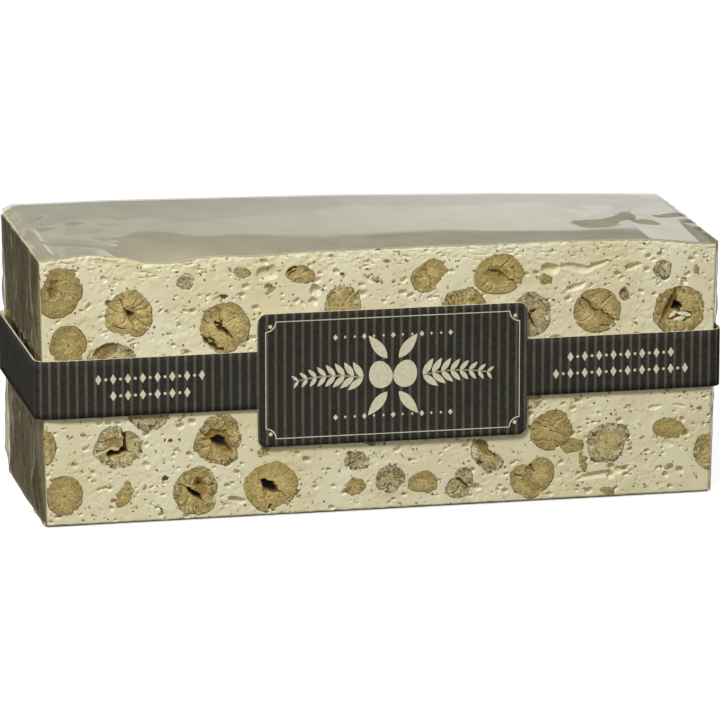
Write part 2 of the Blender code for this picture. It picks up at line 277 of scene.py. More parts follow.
# %% The room: a pale wall, one long panel and darkness
DARK_ROOM = 0.21
DIM_WALL = 0.20
PALER_WALL = 0.37, 0.74  # at its left and right end, as the panel's values are
PALER_ENDS = 0.178, 0.235
PANEL_ENDS = 0.190, 0.263
PANEL_MIDDLE = 0.2935, 0.191  # height of its middle line
PANEL_HALF = 0.0235, 0.038  # half its height
PANEL_LIGHT = 0.17
sky = world.node_tree
ray = add(sky, "ShaderNodeTexCoord").outputs["Generated"]
facing = add(sky, "ShaderNodeSeparateXYZ", {0: ray}).outputs
from_left = []
for (left, right), (at_left, at_right) in (
    (PALER_ENDS, PALER_WALL),
    (PANEL_ENDS, PANEL_MIDDLE),
    (PANEL_ENDS, PANEL_HALF),
):
    ends = {"From Min": left, "From Max": right, "To Min": at_left, "To Max": at_right}
    from_left.append(add(sky, "ShaderNodeMapRange", {"Value": facing["X"], **ends}).outputs[0])
paler, panel_up, panel_half = from_left
off_middle = add(sky, "ShaderNodeMath", {0: facing["Z"], 1: panel_up}, operation="SUBTRACT").outputs[0]
off_panel = add(sky, "ShaderNodeMath", {0: off_middle}, operation="ABSOLUTE").outputs[0]
past_edge = add(sky, "ShaderNodeMath", {0: off_panel, 1: panel_half}, operation="SUBTRACT").outputs[0]
on_panel = add(
    sky,
    "ShaderNodeMapRange",
    {"Value": past_edge, "From Min": 0.003, "From Max": -0.003, "To Max": PANEL_LIGHT},
).outputs[0]
lit_wall = add(sky, "ShaderNodeMath", {0: paler, 1: on_panel}, operation="ADD").outputs[0]
over_panel = add(sky, "ShaderNodeMath", {0: off_middle, 1: panel_half}, operation="SUBTRACT").outputs[0]
above = add(
    sky, "ShaderNodeMapRange", {"Value": over_panel, "From Min": -0.002, "From Max": 0.004}
).outputs[0]
wall = add(sky, "ShaderNodeMix", {0: above, 2: lit_wall, 3: DIM_WALL}, data_type="FLOAT").outputs[0]
behind = add(sky, "ShaderNodeMath", {0: facing["Y"], 1: 0.5}, operation="GREATER_THAN").outputs[0]
strength = add(sky, "ShaderNodeMix", {0: behind, 2: DARK_ROOM, 3: wall}, data_type="FLOAT").outputs[0]
backdrop = sky.nodes["Background"]
backdrop.inputs["Color"].default_value = linear("#FFFFFC")
sky.links.new(strength, backdrop.inputs["Strength"])
print("room: dark", DARK_ROOM, "dim wall", DIM_WALL, "paler wall", PALER_WALL, "panel +", PANEL_LIGHT)

# %% [markdown]
# ## Random numbers that look like food
# Real surfaces are uneven at several sizes at once. This function gives smooth random heights with
# lumps of one chosen size, always the same for the same seed. Sums of it make crumb, waves and
# ragged edges. It works on whole arrays of points at once, which keeps the script quick.

# %% Smooth noise on a flat face


def rough(across, up, lump, seed):
    """Smooth random heights from -1 to 1, with lumps of the given size in millimetres."""
    table = np.random.default_rng(seed).uniform(-1, 1, (96, 96))
    s, t = np.asarray(across) / lump + 48, np.asarray(up) / lump + 48
    i, j = np.floor(s).astype(int), np.floor(t).astype(int)
    a, b = s - i, t - j
    a, b = a * a * (3 - 2 * a), b * b * (3 - 2 * b)
    low = table[i % 96, j % 96] * (1 - a) + table[(i + 1) % 96, j % 96] * a
    high = table[i % 96, (j + 1) % 96] * (1 - a) + table[(i + 1) % 96, (j + 1) % 96] * a
    return low * (1 - b) + high * b


def step(low, high, value):
    """0 below low, 1 above high and a smooth rise between. low may be the larger one."""
    share = np.clip((value - low) / (high - low), 0, 1)
    return share * share * (3 - 2 * share)


def grid_quads(rows, columns, closed=False):
    """The quads of a grid of points, row by row. closed joins the last column to the first."""
    across = columns if closed else columns - 1
    i, j = np.meshgrid(np.arange(rows - 1), np.arange(across), indexing="ij")
    right = (j + 1) % columns
    quads = [i * columns + j, i * columns + right, (i + 1) * columns + right, (i + 1) * columns + j]
    return np.stack(quads, -1).reshape(-1, 4)


def mesh_of(name, points, faces, finishes, attributes=None, smooth=True):
    """A mesh from points in millimetres, with its materials and its named values."""
    mesh = bpy.data.meshes.new(name)
    mesh.from_pydata((np.asarray(points) * MM).tolist(), [], [list(map(int, f)) for f in faces])
    for finish in finishes:
        mesh.materials.append(finish)
    for key, values in (attributes or {}).items():
        mesh.attributes.new(key, "FLOAT", "POINT").data.foreach_set("value", np.asarray(values, float))
    if smooth:
        mesh.shade_smooth()
    return mesh


def add_piece(mesh, slot, *nodes):
    """Puts a finished mesh on the block's one body, in place of the solids it stands for."""
    made = bpy.data.objects.new(mesh.name, mesh)
    bpy.context.scene.collection.objects.link(made)
    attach(made, "root")
    if nodes:
        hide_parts(*nodes)
    return made


# %% [markdown]
# ## What the knife shows of each hazelnut
# A blade that passes through a roasted kernel shows a tan face with a thin brown skin round it. Some
# kernels are smooth, some are olive with furrows that run out from a dark hollow, and some are cut
# so shallow that the grey, veined skin shows. Each nut keeps the place and the size of its solid, and
# this list adds what is special about it: its look, its outline, its gaps and its cracks.

# %% The cut hazelnuts of the front face
# Places are in millimetres from the nut's middle. radii are the outline's distances from it, every
# 22.5 degrees from the right, anticlockwise. A gap is a torn hole with a straight-edged outline, and
# tone is how pale the nut is beside the others of its look.
Gap = namedtuple("Gap", "deep outline")
Crack = namedtuple("Crack", "x0 z0 x1 z1 width deep")
Cut = namedtuple(
    "Cut",
    "look tone size turn radii gaps cracks furrows",
    defaults=("gold", 1.0, None, 0, (), (), (), 0),
)

FRONT_CUTS = {
    1: Cut(
        "smooth",
        0.88,
        radii=(5.0, 5.3, 5.5, 5.9, 6.0, 6.0, 4.9, 4.6, 4.9, 5.5, 6.6, 6.3, 5.9, 5.3, 5.0, 4.8),
        gaps=[
            Gap(0.5, [(-3.2, 0.6), (-2.4, 3.4), (-0.6, 3.0), (-0.4, 0.4), (-1.4, -1.8), (-2.8, -1.4)]),
            Gap(0.9, [(-2.8, 0.8), (-2.0, 2.0), (-1.5, 1.2), (-1.4, -0.4), (-2.0, -1.5), (-2.7, -1.0)]),
        ],
    ),
    2: Cut("smooth", 0.95),
    3: Cut("grey", gaps=[Gap(0.7, [(-4.4, 2.6), (-2.6, 6.0), (1.0, 6.4), (1.6, 3.4), (-1.6, 1.2)])]),
    4: Cut(
        "gold",
        1.06,
        radii=(5.7, 5.5, 5.4, 5.7, 5.7, 5.0, 4.8, 5.4, 5.7, 6.2, 5.8, 5.7, 5.7, 6.4, 6.4, 6.1),
        gaps=[
            Gap(1.9, [(-2.1, 3.4), (-1.6, 3.2), (-1.2, 1.4), (-0.2, 0.6), (1.3, 0.1), (1.6, -0.8),
                      (0.4, -1.7), (-0.3, -0.8), (-0.9, 0.4), (-1.5, 1.6)]),
            Gap(0.45, [(-0.4, 1.6), (1.6, 1.2), (3.0, -1.8), (1.2, -3.0), (-0.8, -1.6), (-1.4, 0.0)]),
        ],
        cracks=[
            Crack(1.4, 1.1, 3.6, 2.5, 0.16, 0.5),
            Crack(1.2, 1.8, 2.0, 3.0, 0.14, 0.4),
            Crack(1.0, -1.5, 5.0, -4.0, 0.20, 0.5),
            Crack(0.4, -1.6, 2.0, -5.2, 0.25, 0.5),
            Crack(1.4, -0.8, 5.0, -1.6, 0.16, 0.35),
            Crack(-3.2, -3.0, -0.8, -3.8, 0.30, 0.5),
            Crack(-5.4, 2.0, -5.7, -1.2, 0.35, 0.8),
        ],
        furrows=5,
    ),
    5: Cut(
        "gold",
        gaps=[Gap(2.0, [(-2.2, 0.6), (-1.5, 0.5), (-1.0, 1.6), (-0.5, 2.0), (-0.4, 0.2), (0.8, -0.5),
                        (2.5, -3.2), (0.0, -1.3), (-1.4, -0.6)])],
        cracks=[
            Crack(-2.0, 1.4, -0.6, 0.6, 0.40, 1.3),
            Crack(-5.2, -2.0, -3.6, -4.4, 0.45, 1.3),
            Crack(-3.8, -3.6, -0.4, -5.4, 0.50, 1.3),
            Crack(-3.2, -2.2, -2.0, -4.8, 0.30, 1.0),
            Crack(-5.4, 2.6, -3.4, 1.2, 0.16, 0.6),
            Crack(-3.8, 4.0, -2.8, 2.2, 0.18, 0.6),
            Crack(0.4, 1.2, 3.6, 3.0, 0.12, 0.3),
        ],
        furrows=3,
    ),
    6: Cut("grey", 0.9),
    7: Cut(
        "grey",
        1.1,
        radii=(6.1, 5.85, 5.1, 3.7, 5.1, 5.5, 5.4, 5.3, 5.8, 6.0, 5.9, 5.2, 5.5, 5.5, 5.6, 6.2),
        gaps=[
            Gap(2.4, [(-2.8, -1.6), (-1.9, -0.7), (0.0, -1.0), (1.2, 0.1), (1.4, 2.0), (1.9, 3.4),
                      (2.2, 1.6), (2.1, -0.3), (2.7, -1.5), (0.8, -1.8), (-1.9, -2.6)]),
            Gap(0.45, [(-3.2, 1.6), (-0.6, 2.6), (1.2, 1.4), (0.8, -0.4), (-2.4, -0.4)]),
        ],
        cracks=[
            Crack(1.5, 2.2, 1.5, 5.4, 0.40, 1.4),
            Crack(-1.9, -2.2, -2.6, -5.0, 0.25, 0.6),
            Crack(-4.6, 1.2, -0.6, 1.7, 0.16, 0.4),
        ],
        furrows=3,
    ),
    8: Cut("smooth"),
    9: Cut("gold", 0.95, size=(4.4, 8.4)),
    10: Cut(
        "olive",
        radii=(5.3, 5.4, 5.9, 5.8, 5.5, 4.9, 4.8, 5.1, 5.3, 5.5, 6.1, 6.2, 6.3, 6.4, 6.4, 5.8),
        gaps=[
            Gap(0.6, [(-0.6, 1.0), (0.4, 2.9), (2.0, 2.6), (3.0, 1.0), (3.1, -1.4), (2.0, -2.4),
                      (0.2, -0.4)]),
            Gap(2.6, [(-2.1, 0.4), (-1.2, 0.3), (-0.2, -0.2), (1.4, -1.3), (1.7, -2.4), (2.6, -3.7),
                      (0.9, -2.5), (-0.4, -1.9), (-1.3, -0.9)]),
            Gap(1.7, [(0.2, 1.6), (1.0, 2.1), (1.8, 1.3), (1.6, 0.3), (0.7, 0.2)]),
        ],
        furrows=7,
    ),
    11: Cut(
        "olive",
        radii=(5.8, 6.1, 6.3, 6.5, 6.4, 5.8, 5.0, 5.2, 5.65, 6.2, 5.9, 5.9, 6.4, 6.3, 6.7, 5.8),
        gaps=[
            Gap(0.6, [(-3.0, 1.2), (-1.6, 2.8), (2.2, 2.4), (3.4, -1.0), (4.0, -3.6), (1.2, -3.2),
                      (-1.4, -1.2)]),
            Gap(2.4, [(-1.9, 0.4), (-0.2, 1.2), (1.8, 0.6), (2.1, -0.3), (2.7, -1.5), (4.0, -3.8),
                      (2.3, -2.3), (0.4, -1.7), (-1.0, -0.8)]),
        ],
        cracks=[Crack(-3.9, 2.2, -1.8, 0.4, 0.25, 0.6), Crack(-1.0, -0.8, -2.4, -5.0, 0.15, 0.4)],
        furrows=9,
    ),
    12: Cut(
        "smooth",
        1.16,
        radii=(6.4, 6.3, 6.1, 5.9, 5.6, 5.3, 5.8, 6.5, 6.6, 6.5, 6.5, 6.6, 6.4, 6.0, 6.1, 6.3),
        gaps=[
            Gap(2.4, [(-2.7, 1.4), (-1.9, 1.7), (-1.1, 1.4), (0.5, 0.8), (1.4, -0.4), (2.2, -1.9),
                      (0.9, -2.1), (-0.3, -1.7), (-1.9, -1.1), (-2.1, 0.1)]),
            Gap(0.5, [(-2.4, -0.8), (-0.4, -1.8), (-1.0, -3.2), (-1.9, -3.0)]),
        ],
        cracks=[
            Crack(-2.7, 1.4, -3.9, 3.8, 0.14, 0.3),
            Crack(-0.2, -4.9, -0.5, -6.4, 0.35, 1.0),
            Crack(2.0, -1.8, 3.4, -3.2, 0.18, 0.4),
            Crack(-2.2, -2.8, -1.0, -5.2, 0.12, 0.3),
        ],
    ),
    13: Cut(
        "gold",
        size=(7.4, 4.5),
        turn=-10,
        cracks=[Crack(-3.2, 0.9, -0.8, 1.5, 0.40, 0.9), Crack(-2.4, -0.2, -1.0, 0.8, 0.30, 0.7)],
        furrows=5,
    ),
    14: Cut("olive", furrows=4),
    15: Cut("grey", cracks=[Crack(-2.2, -1.2, -0.4, -0.2, 0.3, 0.5)]),
    16: Cut("olive"),
    17: Cut("grey", 0.92, furrows=6),
    18: Cut(
        "gold",
        radii=(3.5, 3.5, 3.2, 3.0, 2.7, 2.9, 3.1, 3.6, 3.7, 3.9, 2.9, 2.4, 2.3, 3.1, 3.9, 3.6),
    ),
    19: Cut(
        "gold",
        radii=(4.0, 4.8, 4.5, 4.3, 3.8, 3.4, 3.2, 3.8, 4.2, 4.6, 4.7, 4.3, 3.9, 3.7, 3.4, 3.1),
        cracks=[Crack(-1.2, 1.6, 0.6, -1.2, 0.25, 0.4), Crack(0.4, -0.8, 0.2, -3.4, 0.18, 0.3)],
        furrows=3,
    ),
    20: Cut(
        "grey",
        0.95,
        radii=(3.2, 3.4, 3.5, 3.9, 3.7, 2.8, 1.3, 2.2, 3.3, 4.0, 4.4, 4.4, 4.15, 3.9, 3.2, 3.3),
        cracks=[Crack(-0.5, 0.7, 1.8, -1.6, 0.35, 0.9)],
        furrows=4,
    ),
    21: Cut("olive", furrows=5),
    22: Cut(
        "grey",
        radii=(2.0, 1.4, 1.2, 1.6, 3.2, 4.6, 5.0, 4.0, 3.7, 3.5, 3.4, 3.6, 4.0, 4.8, 5.1, 4.6),
        gaps=[Gap(0.75, [(-2.6, 4.6), (-0.9, 4.4), (0.6, 2.2), (1.8, -0.8), (0.2, -0.5), (-1.5, 0.8),
                         (-2.5, 2.6)])],
    ),
    23: Cut(
        "smooth",
        1.12,
        radii=(6.1, 5.9, 5.6, 5.2, 5.1, 5.2, 5.3, 5.8, 6.3, 6.2, 5.4, 4.7, 4.6, 4.9, 5.1, 5.6),
        gaps=[
            Gap(1.5, [(-3.1, 1.5), (-1.6, 1.3), (-0.6, 1.4), (0.8, 0.7), (2.2, -0.7), (2.9, -1.6),
                      (0.6, -0.1), (-1.4, 0.4), (-2.2, 0.9)]),
            Gap(0.4, [(-3.6, 0.6), (-2.2, 2.4), (1.4, 2.2), (3.0, -0.4), (1.0, -2.8), (-2.4, -2.2)]),
        ],
        cracks=[Crack(3.4, 1.6, 3.8, -1.2, 0.25, 0.4), Crack(2.4, -1.2, 4.8, -2.6, 0.30, 0.6)],
        furrows=5,
    ),
    24: Cut(
        "grey",
        gaps=[
            Gap(1.6, [(-0.4, 0.9), (1.3, 1.4), (0.9, 0.3), (0.1, -0.1)]),
            Gap(2.2, [(-1.4, 2.0), (-0.9, 1.0), (0.4, -1.6), (1.6, -3.9), (0.5, -2.8), (-0.7, -0.6),
                      (-1.4, 0.6)]),
        ],
        furrows=3,
    ),
    25: Cut("grey"),
    26: Cut(
        "gold",
        radii=(5.6, 5.6, 5.5, 4.7, 2.9, 2.5, 3.6, 4.9, 5.4, 5.6, 5.5, 5.8, 6.0, 5.2, 5.2, 5.4),
        gaps=[Gap(0.35, [(-1.4, 1.8), (-0.4, 1.6), (2.6, -4.2), (0.2, -5.0), (-1.6, -2.6), (-1.8, -0.2)])],
        cracks=[
            Crack(-3.8, 0.4, -1.8, -0.2, 0.30, 0.5),
            Crack(-1.8, -0.2, -1.5, -2.8, 0.20, 0.4),
            Crack(-0.5, 2.2, 0.8, 0.7, 0.35, 0.8),
            Crack(1.8, -2.4, 2.4, -4.2, 0.20, 0.4),
        ],
    ),
    27: Cut("grey"),
    28: Cut(
        "smooth",
        radii=(5.2, 5.2, 5.3, 5.1, 4.8, 4.6, 4.9, 5.0, 5.3, 5.5, 5.2, 4.9, 5.1, 5.2, 5.0, 5.0),
        cracks=[
            Crack(1.9, -4.7, 3.2, -3.6, 0.50, 1.4),
            Crack(-4.6, -2.2, 1.2, -2.6, 0.14, 0.3),
            Crack(-2.6, 3.0, 1.8, -0.4, 0.12, 0.3),
        ],
        furrows=3,
    ),
    29: Cut(
        "gold",
        gaps=[
            Gap(1.7, [(-2.5, 2.9), (-1.9, 2.4), (-1.3, 0.9), (0.0, 0.2), (1.2, -0.2), (-0.4, -0.3),
                      (-1.6, 0.5), (-2.2, 1.6)]),
            Gap(0.4, [(-4.2, 3.4), (-1.0, 2.0), (2.0, 0.0), (5.2, -3.2), (3.0, -4.2), (0.0, -2.6),
                      (-2.6, 0.2)]),
        ],
        cracks=[
            Crack(-4.2, 3.6, -2.4, 2.6, 0.30, 0.8),
            Crack(1.0, -0.2, 5.0, -3.4, 0.30, 0.8),
            Crack(1.0, -3.4, 4.6, -4.2, 0.25, 0.6),
            Crack(-4.4, 2.2, -3.2, 0.6, 0.30, 0.5),
        ],
        furrows=3,
    ),
    30: Cut(
        "grey",
        1.05,
        radii=(4.6, 6.0, 5.8, 5.3, 4.9, 4.6, 4.8, 4.9, 4.9, 5.0, 5.1, 5.2, 5.4, 5.3, 4.9, 4.6),
    ),
    31: Cut("smooth", 1.05, size=(8.2, 5.2), turn=-8),
    32: Cut(
        "olive",
        radii=(6.5, 6.5, 6.2, 5.8, 5.9, 5.7, 5.7, 6.2, 6.5, 6.7, 6.5, 6.4, 6.4, 6.2, 6.5, 6.6),
        gaps=[
            Gap(1.1, [(-4.4, -2.0), (-3.6, 0.8), (-1.8, 3.6), (-0.7, 5.4), (-0.5, 2.4), (-0.6, 0.2),
                      (-2.2, -1.6), (-3.4, -2.8)]),
            Gap(2.8, [(-2.0, 0.0), (-1.3, 1.6), (-0.7, 3.2), (-0.5, 2.0), (0.2, 1.4), (0.9, 0.2),
                      (0.0, -0.3), (-1.0, -0.2)]),
            Gap(0.8, [(-2.4, -1.0), (0.0, -0.4), (3.2, -1.0), (3.4, -2.2), (1.6, -3.2), (-0.6, -2.6),
                      (-2.6, -2.8)]),
        ],
        furrows=2,
    ),
    33: Cut("olive"),
}
print("front nuts described:", len(FRONT_CUTS))

# %% [markdown]
# ## The outline of a nut
# A nut's outline is an oval with a few soft lobes. The same function serves twice: it shapes the nut,
# and it tells the nougat where to sink so that the nut sits in a pocket with no gap round it.

# %% Outlines of the nuts, face by face
Nut = namedtuple("Nut", "name face across up wide high turn lobes cut seed")
FACES = {
    "front": Matrix.Translation((0, -HALF_DEPTH, 0)),
    "back": Matrix.Translation((0, HALF_DEPTH, 0)) @ Matrix.Rotation(pi, 4, "Z"),
    "left": Matrix.Translation((-HALF_LOW, 0, 0)) @ Matrix.Rotation(-pi / 2, 4, "Z"),
    "right": Matrix.Translation((HALF_LOW, 0, 0)) @ Matrix.Rotation(pi / 2, 4, "Z"),
}


def across_of(face, x, y):
    """The coordinate along a face, to the right as the face is looked at."""
    return {"front": x, "back": -x, "left": -y, "right": y}[face]


def torn_gap(random, wide, deep):
    """A torn hole near a nut's middle, with a few corners at uneven distances."""
    angles = np.sort(random.uniform(0, 2 * pi, 7))
    far = wide * random.uniform(0.08, 0.42, 7)
    return Gap(deep, list(zip(far * np.cos(angles), far * np.sin(angles))))


def described(name):
    """A nut from its solid's box and, on the front, from the list above."""
    face = name.split("_")[1]
    number = int(name.split("_")[2])
    low, high = corners(name)
    middle, size = (low + high) / 2, high - low
    seed = number + {"front": 0, "back": 100, "left": 200, "right": 300}[face]
    random = np.random.default_rng(seed)
    width = size[0] if face in ("front", "back") else size[1]
    cut = FRONT_CUTS.get(number) if face == "front" else None
    if cut is None:
        look = ["gold", "olive", "grey", "smooth"][random.integers(4)]
        gaps = [torn_gap(random, width / 2, random.uniform(0.5, 2.2))]
        cut = Cut(look, gaps=gaps if look != "smooth" else (), furrows=int(random.integers(0, 8)))
    wide, high = cut.size or (width, size[2])
    ragged = zip((4, 6, 9, 14, 22), (0.02, 0.016, 0.012, 0.008, 0.005))
    lobes = [(n, random.uniform(0.4, 1) * most, random.uniform(0, 6)) for n, most in ragged]
    place = across_of(face, middle[0], middle[1])
    # The block's ends cut through these two, so their middles lie at the ends.
    if face == "front" and number == 9:
        place = -HALF_LOW + 0.2
    if face == "front" and number == 33:
        place = HALF_LOW + 0.4
        wide = 9.2
    return Nut(name, face, place, middle[2], wide / 2, high / 2, radians(cut.turn), lobes, cut, seed)


def reach(nut, angle):
    """How far the outline is from the nut's middle at an angle."""
    turned = angle - nut.turn
    far = nut.wide * nut.high / np.hypot(nut.high * np.cos(turned), nut.wide * np.sin(turned))
    if nut.cut.radii:
        ring = np.append(nut.cut.radii, nut.cut.radii[0])
        far = np.interp(np.mod(angle, 2 * pi), np.linspace(0, 2 * pi, 17), ring)
    return far * (1 + sum(amount * np.cos(order * turned - phase) for order, amount, phase in nut.lobes))


def share_of(nut, across, up):
    """0 at the nut's middle and 1 at its outline."""
    x, z = across - nut.across, up - nut.up
    return np.hypot(x, z) / reach(nut, np.arctan2(z, x))


nuts = [described(name) for name in sorted(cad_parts) if name.startswith("hazelnut_")]
print("nuts:", {face: sum(n.face == face for n in nuts) for face in FACES})

# %% [markdown]
# ### Chips of nut
# Between the whole kernels lie small pieces that the beater broke off. They are too small for a
# solid of their own. Each has an outline like a nut's, so that the nougat can sink under it too.

# %% Small chips in the front face
Chip = namedtuple("Chip", "look across up width height turn")
CHIPS = [
    Chip("grey", -46.7, 57.0, 4.6, 4.2, 20),
    Chip("gold", -61.6, 6.9, 3.6, 6.4, -20),
    Chip("gold", -33.6, 58.7, 4.3, 2.8, -8),
    Chip("gold", -6.6, 5.9, 5.0, 4.6, 10),
    Chip("grey", 67.7, 55.1, 4.7, 4.7, 0),
    Chip("smooth", 45.9, 13.2, 6.2, 3.8, -5),
    Chip("gold", 48.7, 9.2, 1.7, 5.6, 14),
    Chip("gold", 54.8, 1.6, 3.8, 2.0, -20),
    Chip("gold", 39.2, 53.8, 3.4, 2.6, -20),
    Chip("olive", -28.6, 15.6, 3.2, 2.2, 30),
    Chip("olive", 58.6, 48.9, 2.4, 2.2, 0),
    Chip("olive", 69.9, 6.9, 2.4, 1.2, 20),
    Chip("gold", -74.6, 5.0, 2.0, 1.2, 0),
    Chip("gold", -13.2, 10.6, 2.0, 0.8, 20),
    Chip("gold", 1.0, 60.0, 2.0, 0.8, 0),
    Chip("roasted", -51.9, 10.5, 1.9, 1.4, 20),
    Chip("roasted", -50.7, 19.5, 1.4, 0.9, 0),
    Chip("roasted", -37.7, 53.3, 1.9, 0.8, 8),
    Chip("roasted", -9.7, 57.4, 1.0, 0.7, 0),
    Chip("roasted", -53.0, 3.1, 1.2, 0.4, -40),
    Chip("grey", -26.6, 54.2, 3.0, 1.2, 35),
    Chip("grey", -1.4, 55.6, 3.0, 1.8, -30),
    Chip("gold", 66.9, 58.9, 1.5, 0.8, 35),
    Chip("gold", 77.2, 20.8, 1.5, 0.8, 0),
    Chip("gold", -69.2, 2.5, 1.6, 1.0, 0),
    Chip("gold", 76.0, 54.6, 1.4, 2.2, 0),
    Chip("cream", 70.5, 43.9, 2.2, 0.9, 35),
    Chip("cream", 73.3, 43.8, 3.4, 1.0, -12),
    Chip("cream", 72.1, 42.7, 3.0, 1.0, 10),
]
chips = []
for i, chip in enumerate(CHIPS):
    random = np.random.default_rng(400 + i)
    lobes = [(n, random.uniform(0.02, 0.08), random.uniform(0, 6)) for n in (2, 3, 5, 7)]
    cut = Cut(chip.look, furrows=int(random.integers(0, 4)))
    halves = chip.width / 2, chip.height / 2
    chips.append(
        Nut("chip", "front", chip.across, chip.up, *halves, radians(chip.turn), lobes, cut, 400 + i)
    )
print("chips:", len(chips))

# %% [markdown]
# ## Hollows in the nougat
# Beaten nougat sets full of bubbles. The blade opens them as small pits, and where it drags it leaves
# smooth smeared channels with a raised lip. The larger ones are listed one by one. Hundreds of small
# ones follow from a seeded draw, many of them long and flat near the upper edge, where the nougat was
# pressed under the wafer.

# %% Pits and channels of the cut face
Pit = namedtuple("Pit", "across up width height turn deep")
BIG_PITS = [
    Pit(-27.5, 58.3, 5.4, 3.6, 32, 1.1),
    Pit(-15.9, 53.8, 2.7, 2.6, 0, 1.3),
    Pit(-16.4, 51.1, 2.0, 1.8, 0, 0.9),
    Pit(-34.9, 4.3, 4.4, 1.4, -6, 1.2),
    Pit(-37.9, 53.3, 1.9, 0.8, 0, 0.8),
    Pit(40.4, 56.3, 4.6, 2.6, 8, 1.2),
    Pit(46.8, 56.2, 8.4, 2.0, -6, 0.7),
    Pit(52.0, 56.8, 5.6, 1.3, 22, 0.9),
    Pit(46.6, 51.6, 5.4, 1.7, 24, 0.7),
    Pit(60.2, 55.9, 3.4, 1.8, 30, 1.2),
    Pit(58.5, 49.4, 2.4, 2.7, -20, 1.6),
    Pit(53.5, 5.8, 13.0, 1.7, 10, 0.8),
    Pit(57.5, 6.9, 6.0, 1.2, 14, 0.6),
    Pit(-66.0, 58.6, 1.8, 1.5, 0, 0.5),
    Pit(-63.2, 58.2, 1.4, 1.1, 0, 0.4),
    Pit(-56.4, 13.9, 1.7, 1.6, 0, 0.9),
    Pit(-66.0, 45.9, 2.6, 0.9, 20, 0.5),
    Pit(-73.4, 4.3, 1.7, 0.9, 10, 0.7),
    Pit(12.0, 50.7, 2.6, 0.9, 8, 0.5),
    Pit(66.2, 21.5, 3.4, 1.1, 15, 0.5),
    Pit(72.2, 21.6, 3.6, 0.8, -8, 0.4),
    Pit(69.4, 12.4, 3.2, 1.8, 0, 0.35),
    Pit(-45.8, 7.0, 1.0, 1.0, 0, 0.0),
    Pit(78.6, 23.4, 1.8, 0.8, 20, 0.6),
    Pit(-3.6, 55.9, 3.0, 1.0, -40, 0.6),
]


def small_pits(count, low, high, seed):
    """Small round pits all over a face, and long flat ones near its upper edge."""
    random = np.random.default_rng(seed)
    pits = []
    for _ in range(count):
        up = random.uniform(low, high)
        flat = up > high - 5 and random.random() < 0.75
        width = random.uniform(0.9, 2.8) if flat else 0.40 + 1.5 * random.random() ** 4
        height = random.uniform(0.3, 0.5) if flat else width * random.uniform(0.55, 1.0)
        turn_by = random.uniform(-14, 14) if flat else random.uniform(0, 70)
        pits.append(Pit(random.uniform(-80, 80), up, width, height, turn_by, 0.6 * height + 0.2))
    return pits


def pit_depth(pits, across, up):
    """How deep the pits cut at each point of a face, with a raised lip round each."""
    depth = np.zeros_like(across)
    for pit in pits:
        near = (np.abs(across - pit.across) < pit.width) & (np.abs(up - pit.up) < pit.width)
        x, z = across[near] - pit.across, up[near] - pit.up
        a = radians(pit.turn)
        along, over = x * cos(a) + z * sin(a), z * cos(a) - x * sin(a)
        over = over + 0.12 * pit.height * np.sin(along * 6 / max(pit.width, 1.0))
        edge = np.hypot(along / (pit.width / 2), over / (pit.height / 2))
        bowl = pit.deep * np.sqrt(np.clip(1 - edge**2, 0, 1))
        lip = -0.10 * np.exp(-(((edge - 1.14) / 0.14) ** 2)) * min(1, pit.height)
        depth[near] = np.where(edge < 1, np.maximum(depth[near], bowl), depth[near] + lip)
    return depth


front_pits = BIG_PITS + small_pits(1700, 1.0, 63.5, 5)
back_pits = small_pits(500, 1.0, 63.0, 6)
print("pits in the front face:", len(front_pits))

# %% [markdown]
# ## The nougat
# The block could be a subdivided box under a displacement texture, but then no pocket would fit its
# nut. So it is one skin of points that runs round the four sides, fine on the front and coarser
# elsewhere. Each point is pushed in by the sum of what happened there: waves, crumb, pits and pockets.
# A lid closes the skin under the upper wafer, and one flat face closes it below.

# %% The skin of the block
EDGE_ROUND = 0.7
RIM_ROUND = 0.3  # of the block's upper and lower rim
FRONT_STEP = 0.22
OTHER_STEP = 0.6
ROWS = 290
SHEET = 0.22  # thickness of a wafer sheet, pressed into the nougat


def plan_side(start, end, outward, spacing):
    """Points of one straight side of the plan, with the direction that faces out."""
    count = max(2, int(np.linalg.norm(np.subtract(end, start)) / spacing))
    along = np.linspace(0, 1, count, endpoint=False)[:, None]
    places = np.array(start) + along * np.subtract(end, start)
    return np.hstack([places, np.tile(outward, (count, 1))])


def plan_corner(centre, start):
    """Points of one rounded corner of the plan, from an angle in degrees."""
    angles = np.radians(start + np.array([0, 22, 45, 68]))
    facing = np.stack([np.cos(angles), np.sin(angles)], 1)
    return np.hstack([np.array(centre) + EDGE_ROUND * facing, facing])


half_x, half_y = end_at(HEIGHT_LEFT / 2), HALF_DEPTH
flat_x, flat_y = half_x - EDGE_ROUND, half_y - EDGE_ROUND
plan = np.vstack(
    [
        plan_side((-flat_x, -half_y), (flat_x, -half_y), (0, -1), FRONT_STEP),
        plan_corner((flat_x, -flat_y), -90),
        plan_side((half_x, -flat_y), (half_x, flat_y), (1, 0), OTHER_STEP),
        plan_corner((flat_x, flat_y), 0),
        plan_side((flat_x, half_y), (-flat_x, half_y), (0, 1), OTHER_STEP),
        plan_corner((-flat_x, flat_y), 90),
        plan_side((-half_x, flat_y), (-half_x, -flat_y), (-1, 0), OTHER_STEP),
        plan_corner((-flat_x, -flat_y), 180),
    ]
)


def pocket_depth(face, across, up):
    """How deep the nougat sinks under the nuts and the chips of one face."""
    depth = np.zeros_like(across)
    for nut in nuts + chips:
        if nut.face == face:
            share = share_of(nut, across, up) / (1 - 0.5 / nut.wide)
            sunk = 0.95 * (nut.wide + nut.high) / 2 * np.sqrt(np.clip(1 - share**2, 0, 1))
            depth = np.maximum(depth, sunk)
    return depth


